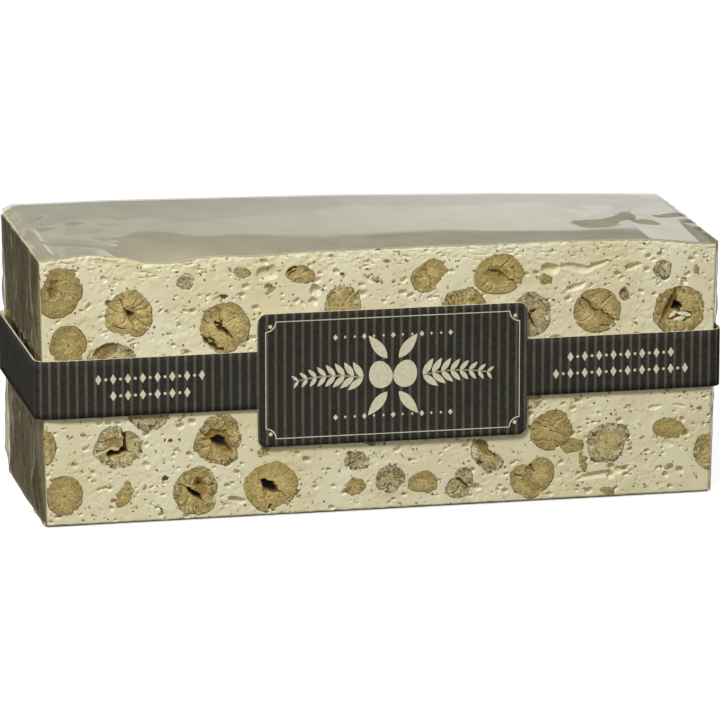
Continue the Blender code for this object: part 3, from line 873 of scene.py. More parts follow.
def nougat_skin():
    """Points of the nougat's skin, row by row, and each one's pit depth, for the painted shade."""
    columns = len(plan)
    x0, y0, out_x, out_y = plan.T
    low = SHEET + 0.05 + 0.15 * np.abs(rough(x0, y0, 2.2, 20))
    ragged = 0.30 * rough(x0, y0, 3.1, 21) + 0.22 * rough(x0, y0, 0.9, 22)
    high = top_at(x0, y0) - 0.06 + np.minimum(ragged, 0)
    share = np.linspace(0, 1, ROWS)[:, None]
    z = low + share * (high - low)
    x = x0 * end_at(z) / half_x
    y = np.tile(y0, (ROWS, 1))
    inward = np.zeros_like(x)
    pit_shade_depth = np.zeros_like(x)
    for face in FACES:
        out = {"front": -out_y, "back": out_y, "left": -out_x, "right": out_x}[face]
        facing = out > 0.9
        across, up = across_of(face, x[:, facing], y[:, facing]), z[:, facing]
        seed = len(face) * 7
        waves = 0.12 * rough(across, up, 7.0, seed) + 0.07 * rough(across, up, 2.1, seed + 1)
        crumb = 0.06 * rough(across, up, 0.9, seed + 2) + 0.035 * rough(across, up, 0.45, seed + 6)
        drag = 0.07 * np.abs(rough(across + 0.8 * up, 2.2 * up - 0.7 * across, 2.6, seed + 3))
        torn = step(5.0, 0.8, top_at(across, -HALF_DEPTH) - up) * (face == "front")
        tears = 0.25 * np.abs(rough(across, 2.4 * up, 1.6, seed + 4)) + 0.12 * rough(across, up, 0.7, seed)
        crumb += torn * tears
        pits = pit_depth(front_pits if face == "front" else back_pits, across, up)
        pit_shade_depth[:, facing] = pits
        inward[:, facing] = waves + crumb + drag + pits
        inward[:, facing] = np.maximum(inward[:, facing], pocket_depth(face, across, up))
    from_edge = np.minimum(z - low, high - z)
    over_rim = np.clip(RIM_ROUND - from_edge, 0, None)
    inward += RIM_ROUND - np.sqrt(np.clip(RIM_ROUND**2 - over_rim**2, 0, None))
    points = np.stack([x - out_x * inward, y - out_y * inward, z], -1)
    # The lid goes on inwards from the upper rim, row by row, and closes along the middle line.
    lid = []
    for inset in (0.4, 1.2, 2.6, 4.5, 7.5, 12.0, 18.0, half_y):
        lid_x, lid_y = x0 * (1 - inset / half_x), y0 * (1 - inset / half_y)
        lid.append(np.stack([lid_x, lid_y, top_at(lid_x, lid_y) - 0.14], -1))
    points = np.vstack([points, lid])
    pit_shade_depth = np.vstack([pit_shade_depth, np.zeros((len(lid), len(x0)))])
    return points.reshape(-1, 3), pit_shade_depth.ravel()


skin, pit_shade_depth = nougat_skin()
columns = len(plan)
skin_quads = grid_quads(len(skin) // columns, columns, closed=True)
underside = [list(range(columns))[::-1]]
print("nougat skin:", len(skin), "points in", ROWS, "rows")

# %% [markdown]
# ## How nougat looks
# Whipped egg white and honey give a matt cream body that is never one flat colour: it is paler where
# air is fine, and more yellow where honey pooled. Fine pores are too small for the mesh, so a bump
# makes them. Real ones lie closer than the 2.4 mm cells used here, which is as close as still shows.
# Of larger cells, 4.2 mm apart, each has a small speck of nut skin in its middle. Pits are painted a
# darker honey the deeper they go, which is painted shade.

# %% Finish: whipped nougat, cut
nougat, tree, output = new_finish("whipped_nougat_cut")
place = add(tree, "ShaderNodeTexCoord").outputs["Object"]
cloud = add(tree, "ShaderNodeTexNoise", {"Vector": place, "Scale": 1 / 0.016, "Detail": 4.0}).outputs["Fac"]
grain = add(tree, "ShaderNodeTexNoise", {"Vector": place, "Scale": 1 / 0.0022, "Detail": 5.0}).outputs["Fac"]
flat_place = add(
    tree,
    "ShaderNodeMapping",
    {"Vector": place, "Rotation": (0.0, radians(20), 0.0), "Scale": (1.0, 1.0, 1.7)},
).outputs[0]
streak = add(
    tree, "ShaderNodeTexNoise", {"Vector": flat_place, "Scale": 1 / 0.005, "Detail": 6.0}
).outputs["Fac"]
pit = add(tree, "ShaderNodeAttribute", attribute_name="pit").outputs["Fac"]
fleck_cells = add(tree, "ShaderNodeTexVoronoi", {"Vector": place, "Scale": 1 / 0.0042, "Randomness": 1.0})
fleck_tint = add(tree, "ShaderNodeSeparateColor", {"Color": fleck_cells.outputs["Color"]}).outputs[0]
fleck_colour = add(
    tree, "ShaderNodeMix", {0: fleck_tint, 6: linear("#6E5428"), 7: linear("#C9A85E")}, data_type="RGBA"
).outputs[2]
coloured = layered(
    tree,
    "#EEE7C9",
    (
        (cloud, 0.35, 0.68, 1.0, "#E5DBB3"),
        (streak, 0.58, 0.78, 0.6, "#D9C997"),
        # Painted shade: the deeper the pit, the darker the honey tone.
        (pit, 0.3, 2.0, 0.6, "#B8A87C"),
        (fleck_cells.outputs["Distance"], 0.10, 0.05, 1.0, fleck_colour),
    ),
)
pore_cells = add(tree, "ShaderNodeTexVoronoi", {"Vector": place, "Scale": 1 / 0.0024})
pore_draw = add(tree, "ShaderNodeSeparateColor", {"Color": pore_cells.outputs["Color"]}).outputs[1]
pore_reach = add(
    tree, "ShaderNodeMapRange", {"Value": pore_draw, "From Min": 0.35, "From Max": 1.0, "To Max": 0.20}
).outputs[0]
pore_rest = add(
    tree, "ShaderNodeMath", {0: pore_reach, 1: pore_cells.outputs["Distance"]}, operation="SUBTRACT"
).outputs[0]
pore = add(
    tree, "ShaderNodeMapRange", {"Value": pore_rest, "From Min": -0.02, "From Max": 0.12, "To Max": -1.0}
).outputs[0]
height = add(tree, "ShaderNodeMath", {0: grain, 1: 0.25, 2: pore}, operation="MULTIPLY_ADD").outputs[0]
bump = add(
    tree, "ShaderNodeBump", {"Height": height, "Strength": 0.9, "Distance": 0.0004}
).outputs[0]
shader = add(
    tree,
    "ShaderNodeBsdfPrincipled",
    {"Base Color": coloured, "Roughness": 0.5, "IOR": 1.46, "Normal": bump},
)
tree.links.new(shader.outputs[0], output.inputs[0])
print("nougat finish:", len(tree.nodes), "nodes")

# %% [markdown]
# ### The skin in strips
# The export thins a piece of more than 200,000 triangles, so the skin is cut into upright strips: three
# on the fine front, and one for each other side. They meet without a gap, as they share their points.

# %% Cut the skin into pieces


def cut_out(name, faces):
    """The part of the skin that some faces use, as a mesh of its own."""
    used = np.unique(np.concatenate([np.ravel(face) for face in faces]))
    place_of = np.zeros(len(skin), int)
    place_of[used] = np.arange(len(used))
    moved = [place_of[face] for face in faces]
    # The value "pit" is each point's pit depth, which the finish paints as shade.
    return mesh_of(name, skin[used], moved, [nougat], {"pit": pit_shade_depth[used]})


front_end = int((plan[:, 3] < -0.9).sum())
back_start, back_end = np.flatnonzero(plan[:, 3] > 0.9)[[0, -1]]
STRIPS = {
    "nougat_front_left": (0, front_end // 3),
    "nougat_front_middle": (front_end // 3, 2 * front_end // 3),
    "nougat_front_right": (2 * front_end // 3, front_end),
    "nougat_right_end": (front_end, back_start),
    "nougat_back": (back_start, back_end),
    "nougat_left_end": (back_end, columns),
}
column_of = skin_quads[:, 0] % columns
for name, (first, last) in STRIPS.items():
    strip_quads = skin_quads[(column_of >= first) & (column_of < last)]
    add_piece(cut_out(name, list(strip_quads)), "nougat", "nougat_block")
    print(name, len(strip_quads), "quads")
add_piece(cut_out("nougat_underside", underside), "nougat", "nougat_block")

# %% [markdown]
# ## How a cut hazelnut looks
# One recipe serves five looks, which differ only in their colours and in how veined they are. Three
# values travel with each point of a nut: how far it is from the skin, how deep it lies in a gap, and
# how close it is to the kernel's middle. The finish turns them into skin line, gaps that darken with
# depth and pale heart, and noise of real sizes breaks all of it up. The gaps' brown walls are partly
# the torn flesh's own tone and partly painted shade, and their nearly black depths are painted shade.
# A fourth value holds how pale the nut is. The sixth look, cream, is a scrap of nougat and has the
# nougat's own finish.

# %% Finish: roasted hazelnut in five looks


def hazelnut_finish(name, heart, flesh, ring, pale, vein, veined):
    """A roasted kernel, cut. veined is how much of it pale and dark veins cover, from 0 to 1."""
    made, tree, output = new_finish(name)
    place = add(tree, "ShaderNodeTexCoord").outputs["Object"]
    rim, sunk, core, tone = [
        add(tree, "ShaderNodeAttribute", attribute_name=value).outputs["Fac"]
        for value in ("rim", "sunk", "core", "tone")
    ]
    # Three noises, with lumps of 2.6, 0.5 and 1.5 mm.
    mottle, fine, blotch = [
        add(
            tree,
            "ShaderNodeTexNoise",
            {"Vector": place, "Scale": 1 / lump, "Detail": detail, "Distortion": twist},
        ).outputs["Fac"]
        for lump, detail, twist in ((0.0026, 5.0, 0.0), (0.0005, 6.0, 0.0), (0.0015, 4.0, 1.4))
    ]
    wobble = add(tree, "ShaderNodeMath", {0: blotch, 1: 3.0, 2: -1.5}, operation="MULTIPLY_ADD").outputs[0]
    uneven_rim = add(tree, "ShaderNodeMath", {0: rim, 1: wobble}, operation="ADD").outputs[0]
    skin_width = add(
        tree, "ShaderNodeMath", {0: mottle, 1: 0.7, 2: -0.14}, operation="MULTIPLY_ADD"
    ).outputs[0]
    skin_gap = add(tree, "ShaderNodeMath", {0: skin_width, 1: rim}, operation="SUBTRACT").outputs[0]
    zone = add(
        tree,
        "ShaderNodeMapRange",
        {"Value": rim, "From Min": 3.6, "From Max": 1.2, "To Min": 0.25 * veined, "To Max": veined},
    ).outputs[0]
    layers = (
        (mottle, 0.62, 0.38, 1.0, flesh),
        (core, 0.6, 0.1, 1.0, heart),
        (uneven_rim, 2.6, 0.9, 1.0, ring),
        (blotch, 0.53, 0.60, zone, pale),
        (blotch, 0.42, 0.34, zone, vein),
        # Gaps and cracks: brown walls, partly the torn flesh's tone and partly painted shade, then nearly
        # black painted shade deep down.
        (sunk, 0.10, 0.50, 0.85, "#8F7338"),
        (sunk, 0.80, 1.90, 1.0, "#150E07"),
        (skin_gap, -0.06, 0.08, 0.7, "#5E4A28"),
        (fine, 0.38, 0.32, 0.6, vein),
    )
    colour = layered(tree, heart, layers)
    grained = add(
        tree,
        "ShaderNodeMapRange",
        {"Value": fine, "From Min": 0.3, "From Max": 0.7, "To Min": 0.80, "To Max": 1.16},
    ).outputs[0]
    level = add(tree, "ShaderNodeMath", {0: tone, 1: grained}, operation="MULTIPLY").outputs[0]
    toned = add(tree, "ShaderNodeVectorMath", {0: colour, "Scale": level}, operation="SCALE").outputs[0]
    height = add(tree, "ShaderNodeMath", {0: blotch, 1: 1.5, 2: fine}, operation="MULTIPLY_ADD").outputs[0]
    bump = add(tree, "ShaderNodeBump", {"Height": height, "Strength": 0.8, "Distance": 0.0003}).outputs[0]
    shader = add(
        tree,
        "ShaderNodeBsdfPrincipled",
        {"Base Color": toned, "Roughness": 0.55, "IOR": 1.47, "Normal": bump},
    )
    tree.links.new(shader.outputs[0], output.inputs[0])
    return made


# Each look's name, heart, flesh, ring under the skin, pale veins, dark veins, and how veined it is.
NUT_RECIPES = {
    "gold": ("hazelnut_golden", "#D2BC80", "#BCA667", "#AE9A60", "#D6C896", "#62501F", 0.30),
    "olive": ("hazelnut_olive", "#CAB374", "#B49D5C", "#A6915A", "#D3C796", "#4E4020", 0.95),
    "grey": ("hazelnut_grey", "#C9B67E", "#B0A06E", "#A39871", "#D8CFA9", "#4A3E24", 1.0),
    "smooth": ("hazelnut_smooth", "#C4AF72", "#B5A05F", "#AA965C", "#CBB988", "#6B5624", 0.15),
    "roasted": ("hazelnut_roasted", "#8A6A36", "#6E5226", "#5C431D", "#9C7E48", "#2E200E", 0.6),
}
NUT_FINISHES = {look: hazelnut_finish(*recipe) for look, recipe in NUT_RECIPES.items()}
NUT_FINISHES["cream"] = nougat
print("nut finishes:", list(NUT_FINISHES))

# %% [markdown]
# ## The cut faces of the nuts
# Each nut is a round grid of points: rings from its middle to its skin, then a plain bowl behind,
# which nobody sees. The rings are close together, so that gaps and cracks are real shapes with
# their own shade. Furrows run outwards from the middle, as the two halves of a kernel split.

# %% Build one nut
RIM_DROP = 0.10
PROUD = 0.05  # of a nut's face over the nougat round it


def gap_sink(gap, across, up, seed):
    """How deep a torn hole is: a steep wall at its ragged outline, then a slope to its middle."""
    x = across + 0.16 * rough(across, up, 0.7, seed)
    z = up + 0.16 * rough(across, up, 0.7, seed + 1)
    nearest = np.full(x.shape, 9.0)
    inside = np.zeros(x.shape, bool)
    ring = list(gap.outline)
    for (x0, z0), (x1, z1) in zip(ring, ring[1:] + ring[:1]):
        run, climb = x1 - x0, z1 - z0
        share = np.clip(((x - x0) * run + (z - z0) * climb) / (run**2 + climb**2), 0, 1)
        nearest = np.minimum(nearest, np.hypot(x - x0 - share * run, z - z0 - share * climb))
        if climb:
            inside ^= ((z0 > z) != (z1 > z)) & (x < x0 + (z - z0) * run / climb)
    signed = np.where(inside, nearest, -nearest)
    return gap.deep * (0.45 * step(-0.06, 0.16, signed) + 0.55 * np.clip(signed / 0.9, 0, 1))


def crack_sink(crack, across, up, seed):
    """How deep a jagged crack cuts, tapering to nothing at its far end."""
    start = np.array([crack.x0, crack.z0])
    along = np.array([crack.x1, crack.z1]) - start
    length = np.hypot(*along)
    unit = along / length
    x, z = across - start[0], up - start[1]
    run = x * unit[0] + z * unit[1]
    off = z * unit[0] - x * unit[1]
    off = off + 0.32 * rough(run, run * 0, 0.9, seed) + 0.12 * rough(run, run * 0, 0.35, seed)
    beyond = np.maximum(np.maximum(-run, run - length), 0)
    width = crack.width * (0.55 + 0.45 * np.clip(1 - run / length, 0, 1))
    return crack.deep * np.clip(1.25 - np.hypot(off, beyond) / width, 0, 1) ** 0.8


def cut_relief(nut, across, up, rim):
    """How far each point of the cut face lies behind it, and how much of that is a gap or crack."""
    sunk = np.zeros_like(across)
    for i, gap in enumerate(nut.cut.gaps):
        sunk = np.maximum(sunk, gap_sink(gap, across, up, nut.seed + 31 * i))
    for i, crack in enumerate(nut.cut.cracks):
        sunk = np.maximum(sunk, crack_sink(crack, across, up, nut.seed + 57 + i))
    random = np.random.default_rng(nut.seed + 900)
    angle, far = np.arctan2(up, across), np.hypot(across, up)
    furrow = np.zeros_like(across)
    for i in range(nut.cut.furrows):
        facing = 2 * pi * (i + random.uniform(0.1, 0.9)) / nut.cut.furrows
        bend = facing + 0.25 * rough(far, far * 0, 2.0, nut.seed + i)
        off = np.abs(np.sin((angle - bend) / 2)) * 2 * far
        there = step(0.6, 1.6, far) * step(0.3, 1.2, rim) * (np.cos(angle - bend) > 0)
        furrow = np.maximum(furrow, random.uniform(0.18, 0.42) * there * np.clip(1 - off / 0.35, 0, 1))
    base = 0.12 * rough(across, up, 2.3, nut.seed + 5) + 0.07 * rough(across, up, 0.8, nut.seed + 6)
    grain = streaks(nut, across, up)
    edge_drop = RIM_DROP * np.clip(1 - rim / 0.25, 0, 1)
    level = np.maximum(base - 0.05 * grain + edge_drop, -0.08)
    return level + np.maximum(sunk, furrow), np.maximum(sunk, 0.9 * furrow)


def streaks(nut, across, up):
    """Streaks from -1 to 1 that run out from the middle, as a kernel's fibres do."""
    arc = np.arctan2(up, across) * (nut.wide + nut.high) / 3.4
    far = np.hypot(across, up)
    coarse = rough(arc / 0.30, far / 1.5, 1.0, nut.seed + 7)
    fine = rough(arc / 0.14, far / 0.7, 1.0, nut.seed + 8)
    return 0.6 * coarse + 0.4 * fine


def nut_points(nut, sides, rings):
    """The points of one nut in its face's frame (across, inwards, up), its faces and its values."""
    angle = np.linspace(0, 2 * pi, sides, endpoint=False)
    share = np.concatenate([[0.0], np.linspace(0, 1, rings + 1)[1:] ** 0.85])
    far = share[1:, None] * reach(nut, angle)
    across, up = far * np.cos(angle), far * np.sin(angle)
    rim = reach(nut, angle) - far
    depth, sunk = cut_relief(nut, across, up, rim)
    middle_depth, middle_sunk = cut_relief(nut, np.zeros(1), np.zeros(1), np.array([nut.wide]))
    core = np.tile(share[1:, None], (1, sides))
    tone = nut.cut.tone * (1 + 0.2 * streaks(nut, across, up))
    deep = 0.84 * (nut.wide + nut.high) / 2
    bowl = [(1.0, 0.5), (0.80, 0.55 * deep), (0.42, 0.88 * deep)]
    face_points = np.stack([across, depth - PROUD, up], -1).reshape(-1, 3)
    outline = np.stack([across[-1], up[-1]], -1)
    backs = [np.stack([outline[:, 0] * s, np.full(sides, d), outline[:, 1] * s], -1) for s, d in bowl]
    points = np.vstack([[[0, middle_depth[0] - PROUD, 0]], face_points, *backs, [[0, deep, 0]]])
    ring_count = rings + len(bowl)
    faces = [[0, 1 + (i + 1) % sides, 1 + i] for i in range(sides)]
    faces += (grid_quads(ring_count, sides, closed=True) + 1)[:, ::-1].tolist()
    last = len(points) - 1
    first = last - sides
    faces += [[last, first + i, first + (i + 1) % sides] for i in range(sides)]
    behind = sides * len(bowl) + 1
    values = {
        "rim": np.concatenate([[nut.wide], rim.ravel(), np.zeros(behind)]),
        "sunk": np.concatenate([middle_sunk, sunk.ravel(), np.zeros(behind)]),
        "core": np.concatenate([[0.0], core.ravel(), np.ones(behind)]),
        "tone": np.concatenate([[nut.cut.tone], tone.ravel(), np.ones(behind)]),
    }
    return points + np.array([nut.across, 0, nut.up]), faces, values


def on_face(face, points):
    """Points from a face's frame to the block's frame, kept inside the leaning ends."""
    frame_of = np.array(FACES[face])
    placed = points @ frame_of[:3, :3].T + frame_of[:3, 3]
    lean = end_at(placed[:, 2]) - HALF_LOW
    if face in ("left", "right"):
        placed[:, 0] += lean * (1 if face == "right" else -1)
    limit = end_at(placed[:, 2]) - (0.15 if face in ("front", "back") else -1.0)
    placed[:, 0] = np.clip(placed[:, 0], -limit, limit)
    return placed


total = 0
for nut in nuts:
    fine_face = nut.face == "front"
    sides, rings = (160, 48) if fine_face else (72, 22)
    points, faces, values = nut_points(nut, sides, rings)
    finish = NUT_FINISHES[nut.cut.look]
    nut_mesh = mesh_of("cut_" + nut.name, on_face(nut.face, points), faces, [finish], values)
    add_piece(nut_mesh, "hazelnut", nut.name)
    total += len(faces)
print("nuts built:", len(nuts), "with", total, "faces")

# %% [markdown]
# ### The chips, built and joined
# The chips are built like the nuts, with fewer points, and joined in one mesh for each look. The
# cream ones are scraps of nougat that the blade left in the hollow of a nut.

# %% Build the chips


def joined(name, parts, finish, slot, *nodes):
    """Several bodies as one mesh and one piece, in place of the solids that it stands for."""
    points, faces, values, start = [], [], {}, 0
    for part_points, part_faces, part_values in parts:
        points.append(part_points)
        faces += [[start + i for i in face] for face in part_faces]
        for key, numbers in part_values.items():
            values.setdefault(key, []).append(numbers)
        start += len(part_points)
    values = {key: np.concatenate(numbers) for key, numbers in values.items()}
    return add_piece(mesh_of(name, np.vstack(points), faces, [finish], values), slot, *nodes)


for look, finish in NUT_FINISHES.items():
    parts = []
    for chip in chips:
        if chip.cut.look == look:
            points, faces, values = nut_points(chip, 48, 14)
            parts.append((on_face("front", points), faces, values))
    joined("chips_" + look, parts, finish, "nougat" if look == "cream" else "hazelnut")
    print(look, "chips:", len(parts))

# %% [markdown]
# ## Flecks of skin
# Rubbing roasted hazelnuts leaves flecks of papery brown skin all through the nougat. They repeat by
# the hundred with no order, which is what Geometry Nodes do well: points are scattered over the sides
# of the block, a flat crumb is set on each at a random size, and the result is realized to a mesh.

# %% Geometry Nodes: scatter flecks


def new_group(name, geometry_in, geometry_out, **inputs):
    """An empty Geometry Nodes group with one mesh in, one out, and named inputs of given kinds."""
    group = bpy.data.node_groups.new(name, "GeometryNodeTree")
    group.interface.new_socket(geometry_in, in_out="INPUT", socket_type="NodeSocketGeometry")
    for key, kind in inputs.items():
        group.interface.new_socket(
            key.replace("_", " "), in_out="INPUT", socket_type="NodeSocket" + kind
        )
    group.interface.new_socket(geometry_out, in_out="OUTPUT", socket_type="NodeSocketGeometry")
    return group, add(group, "NodeGroupInput").outputs


scatter, given = new_group(
    "scatter_flecks",
    "Surface",
    "Flecks",
    Density="Float",
    Smallest="Float",
    Largest="Float",
    Seed="Int",
    Finish="Material",
)
facing = add(scatter, "GeometryNodeInputNormal").outputs[0]
facing_up = add(scatter, "ShaderNodeSeparateXYZ", {0: facing}).outputs["Z"]
steep = add(scatter, "ShaderNodeMath", {0: facing_up}, operation="ABSOLUTE").outputs[0]
is_side = add(scatter, "FunctionNodeCompare", {0: steep, 1: 0.5}, operation="LESS_THAN").outputs[0]
spots = add(
    scatter,
    "GeometryNodeDistributePointsOnFaces",
    {"Mesh": given["Surface"], "Selection": is_side, "Density": given["Density"], "Seed": given["Seed"]},
)
crumb = add(scatter, "GeometryNodeMeshIcoSphere", {"Radius": 1.0, "Subdivisions": 1}).outputs[0]
size = add(
    scatter,
    "FunctionNodeRandomValue",
    {2: given["Smallest"], 3: given["Largest"], "Seed": given["Seed"]},
    data_type="FLOAT",
).outputs[1]
stretch = add(
    scatter,
    "FunctionNodeRandomValue",
    {0: (0.5, 0.5, 0.25), 1: (1.7, 1.0, 0.4), "Seed": given["Seed"]},
    data_type="FLOAT_VECTOR",
).outputs[0]
scaled = add(scatter, "ShaderNodeVectorMath", {0: stretch, "Scale": size}, operation="SCALE").outputs[0]
spin = add(
    scatter,
    "FunctionNodeRandomValue",
    {0: (0.0, 0.0, 0.0), 1: (0.3, 0.3, 6.3), "Seed": given["Seed"]},
    data_type="FLOAT_VECTOR",
).outputs[0]
turned = add(
    scatter,
    "FunctionNodeRotateRotation",
    {0: spots.outputs["Rotation"], 1: spin},
    rotation_space="LOCAL",
).outputs[0]
placed = add(
    scatter,
    "GeometryNodeInstanceOnPoints",
    {"Points": spots.outputs["Points"], "Instance": crumb, "Rotation": turned, "Scale": scaled},
).outputs[0]
real = add(scatter, "GeometryNodeRealizeInstances", {0: placed}).outputs[0]
dressed = add(
    scatter, "GeometryNodeSetMaterial", {"Geometry": real, "Material": given["Finish"]}
).outputs[0]
add(scatter, "NodeGroupOutput", {0: dressed})


def from_nodes(name, group, base_mesh, values):
    """The plain mesh that a node group makes from a base mesh and named values."""
    carrier = bpy.data.objects.new(name, base_mesh)
    bpy.context.scene.collection.objects.link(carrier)
    nodes = carrier.modifiers.new("nodes", "NODES")
    nodes.node_group = group
    sockets = {item.name: item.identifier for item in group.interface.items_tree if item.in_out == "INPUT"}
    for key, value in values.items():
        nodes[sockets[key]] = value
    evaluated = carrier.evaluated_get(bpy.context.evaluated_depsgraph_get())
    made = bpy.data.meshes.new_from_object(evaluated)
    made.name = name
    bpy.data.objects.remove(carrier, do_unlink=True)
    return made


def speck_finish(name, colour, roughness):
    """A dry flake of skin or nut, a little uneven in tone."""
    made, tree, output = new_finish(name)
    place = add(tree, "ShaderNodeTexCoord").outputs["Object"]
    tone = add(tree, "ShaderNodeTexNoise", {"Vector": place, "Scale": 1 / 0.004}).outputs["Fac"]
    level = add(tree, "ShaderNodeMapRange", {"Value": tone, "To Min": 0.6, "To Max": 1.5}).outputs[0]
    shade = add(
        tree, "ShaderNodeVectorMath", {0: linear(colour)[:3], "Scale": level}, operation="SCALE"
    ).outputs[0]
    shader = add(tree, "ShaderNodeBsdfPrincipled", {"Base Color": shade, "Roughness": roughness})
    tree.links.new(shader.outputs[0], output.inputs[0])
    return made


sides_only = mesh_of("sides_of_the_block", skin, skin_quads, [nougat])
for name, colour, density, small, large, seed in (
    ("skin_flecks", "#6E5428", 52000.0, 0.00013, 0.00036, 3),
    ("nut_crumbs", "#B8A46C", 60000.0, 0.00016, 0.00060, 9),
    ("roast_flecks", "#3A270F", 12000.0, 0.00013, 0.00034, 14),
):
    values = {"Density": density, "Smallest": small, "Largest": large, "Seed": seed}
    values["Finish"] = speck_finish(name, colour, 0.7)
    fleck_mesh = from_nodes(name, scatter, sides_only, values)
    fleck_mesh.shade_smooth()
    add_piece(fleck_mesh, "hazelnut")
    print(name, len(fleck_mesh.polygons), "faces")

# %% [markdown]
# ## The wafer sheets
# Edible wafer is baked starch, matt, off-white and thin as paper. It is pressed into the nougat above
# and below and breaks off a little inside the cut, so each sheet is a grid with ragged edges that
# follows the uneven upper side, and Solidify gives it its thickness.

# %% Finish and sheets of edible wafer
wafer, tree, output = new_finish("edible_wafer")
place = add(tree, "ShaderNodeTexCoord").outputs["Object"]
mottle = add(tree, "ShaderNodeTexNoise", {"Vector": place, "Scale": 1 / 0.009, "Detail": 4.0}).outputs["Fac"]
colour = layered(tree, "#C2BBA2", [(mottle, 0.3, 0.7, 1.0, "#B2AB90")])
quilt = add(tree, "ShaderNodeTexVoronoi", {"Vector": place, "Scale": 1 / 0.0024}).outputs["Distance"]
bump = add(tree, "ShaderNodeBump", {"Height": quilt, "Strength": 0.25, "Distance": 0.0002}).outputs[0]
shader = add(
    tree, "ShaderNodeBsdfPrincipled", {"Base Color": colour, "Roughness": 0.85, "Normal": bump}
)
tree.links.new(shader.outputs[0], output.inputs[0])


def add_wafer(name, node, seed):
    """One sheet with broken edges. Its face is the block's upper side or its underside."""
    upper = node == "wafer_top"
    across, deep = np.meshgrid(np.linspace(-1, 1, 260), np.linspace(-1, 1, 70))
    inset = 0.50 + 0.3 * np.abs(rough(across * 80, deep * 28, 1.7, seed))
    inset += 0.15 * np.abs(rough(across * 80, deep * 28, 6, seed))
    y = deep * (HALF_DEPTH - inset)
    x = across * (end_at(HEIGHT_LEFT if upper else 0) - 0.4 * inset)
    z = top_at(x, y) if upper else np.full_like(x, SHEET)
    points = np.stack([x, y, z], -1).reshape(-1, 3)
    made = add_piece(mesh_of(name, points, grid_quads(*across.shape), [wafer]), "wafer", node)
    thick = made.modifiers.new("sheet", "SOLIDIFY")
    thick.thickness = SHEET * MM
    thick.offset = -1.0
    return made


add_wafer("wafer_sheet_top", "wafer_top", 91)
add_wafer("wafer_sheet_bottom", "wafer_bottom", 93)
print("wafer sheets", SHEET, "mm thick")

# %% [markdown]
# ## The card band
# The band is one die-cut strip of card, printed charcoal with pale pinstripes, wrapped round the
# block and glued behind. It could be bent from a flat plane with a curve, but a rule is plainer: the
# strip is laid out flat, as distance along it and height, and each point is then carried to its place
# on a path round the block. Solidify gives it the thickness of card, with pale raw edges.

# %% The path of the band round the block
CARD = 0.4
BAND_LOW, BAND_HIGH = 26.0, 39.9
LABEL_LOW, LABEL_HIGH = band[0, 2], band[1, 2]
LABEL_LEFT, LABEL_RIGHT = -30.1, 34.8
LABEL_ROUND = 2.3
PATH_X, PATH_Y = band[1, 0], band[1, 1]
CORNER_X, CORNER_Y = 3.6, 2.8
OVERLAP = 9.0

turns = np.linspace(-pi / 2, 0, 24)
corner_x = PATH_X - CORNER_X + CORNER_X * np.cos(turns)
corner_y = -PATH_Y + CORNER_Y + CORNER_Y * np.sin(turns)
front_corner = np.stack([corner_x, corner_y], 1)
back_corner = (front_corner * (1, -1))[::-1]
half_path = np.vstack([[[0, -PATH_Y]], front_corner, back_corner, [[0, PATH_Y]]])
runs = np.concatenate([[0], np.cumsum(np.hypot(*np.diff(half_path, axis=0).T))])
HALF_ROUND = runs[-1]


def bow(along, z):
    """How far the card stands off its path: it lifts at the label's edges and near the corners."""
    on_label = step(LABEL_LEFT - 4, LABEL_LEFT + 4, along) * step(LABEL_RIGHT + 4, LABEL_RIGHT - 4, along)
    middle = (LABEL_LOW + LABEL_HIGH) / 2
    curl = 0.28 * ((z - middle) / (LABEL_HIGH - middle)) ** 2 * on_label
    slack = 0.16 * np.exp(-(((np.abs(along) - 72) / 9) ** 2)) + 0.10 * np.sin(along / 19)
    lap = (CARD + 0.12) * step(HALF_ROUND - OVERLAP - 3, HALF_ROUND - OVERLAP, along)
    return curl + slack * (np.abs(along) < 78) + lap


def on_band(along, z, lift=0.0):
    """Places on the card's outer side, from distance along it and height."""
    folded = np.where(along > HALF_ROUND, along - 2 * HALF_ROUND, along)
    side, far = np.sign(folded), np.abs(folded)
    x, y = np.interp(far, runs, half_path[:, 0]), np.interp(far, runs, half_path[:, 1])
    ahead = np.clip(far + 0.4, 0, HALF_ROUND)
    behind = np.clip(far - 0.4, 0, HALF_ROUND)
    step_x = np.interp(ahead, runs, half_path[:, 0]) - np.interp(behind, runs, half_path[:, 0])
    step_y = np.interp(ahead, runs, half_path[:, 1]) - np.interp(behind, runs, half_path[:, 1])
    length = np.hypot(step_x, step_y) + 1e-9
    off = bow(along, z) + lift
    return np.stack([side * (x + step_y / length * off), y - step_x / length * off, z], -1)


print("the band is", round(2 * HALF_ROUND), "mm round")

# %% [markdown]
# ### Laying out the strip
# Columns stand 1.2 mm apart, with extra ones where the label's corners are round. Every column has
# the rows of the band, and those within the label go on above and below it.

# %% The strip as a grid
corner_steps = LABEL_ROUND * (1 - np.cos(np.radians(np.arange(0, 91, 15))))
stations = np.unique(
    np.round(
        np.concatenate(
            [
                np.arange(-HALF_ROUND, HALF_ROUND + OVERLAP, 1.2),
                LABEL_LEFT + corner_steps,
                LABEL_RIGHT - corner_steps,
            ]
        ),
        4,
    )
)
BAND_CELLS, LABEL_CELLS = 8, 7


def label_reach(along):
    """The lowest and highest point of the label at a place along the band."""
    from_side = np.minimum(along - LABEL_LEFT, LABEL_RIGHT - along)
    short = np.clip(LABEL_ROUND - from_side, 0, LABEL_ROUND)
    inset = LABEL_ROUND - np.sqrt(np.clip(LABEL_ROUND**2 - short**2, 0, None))
    return LABEL_LOW + inset, LABEL_HIGH - inset


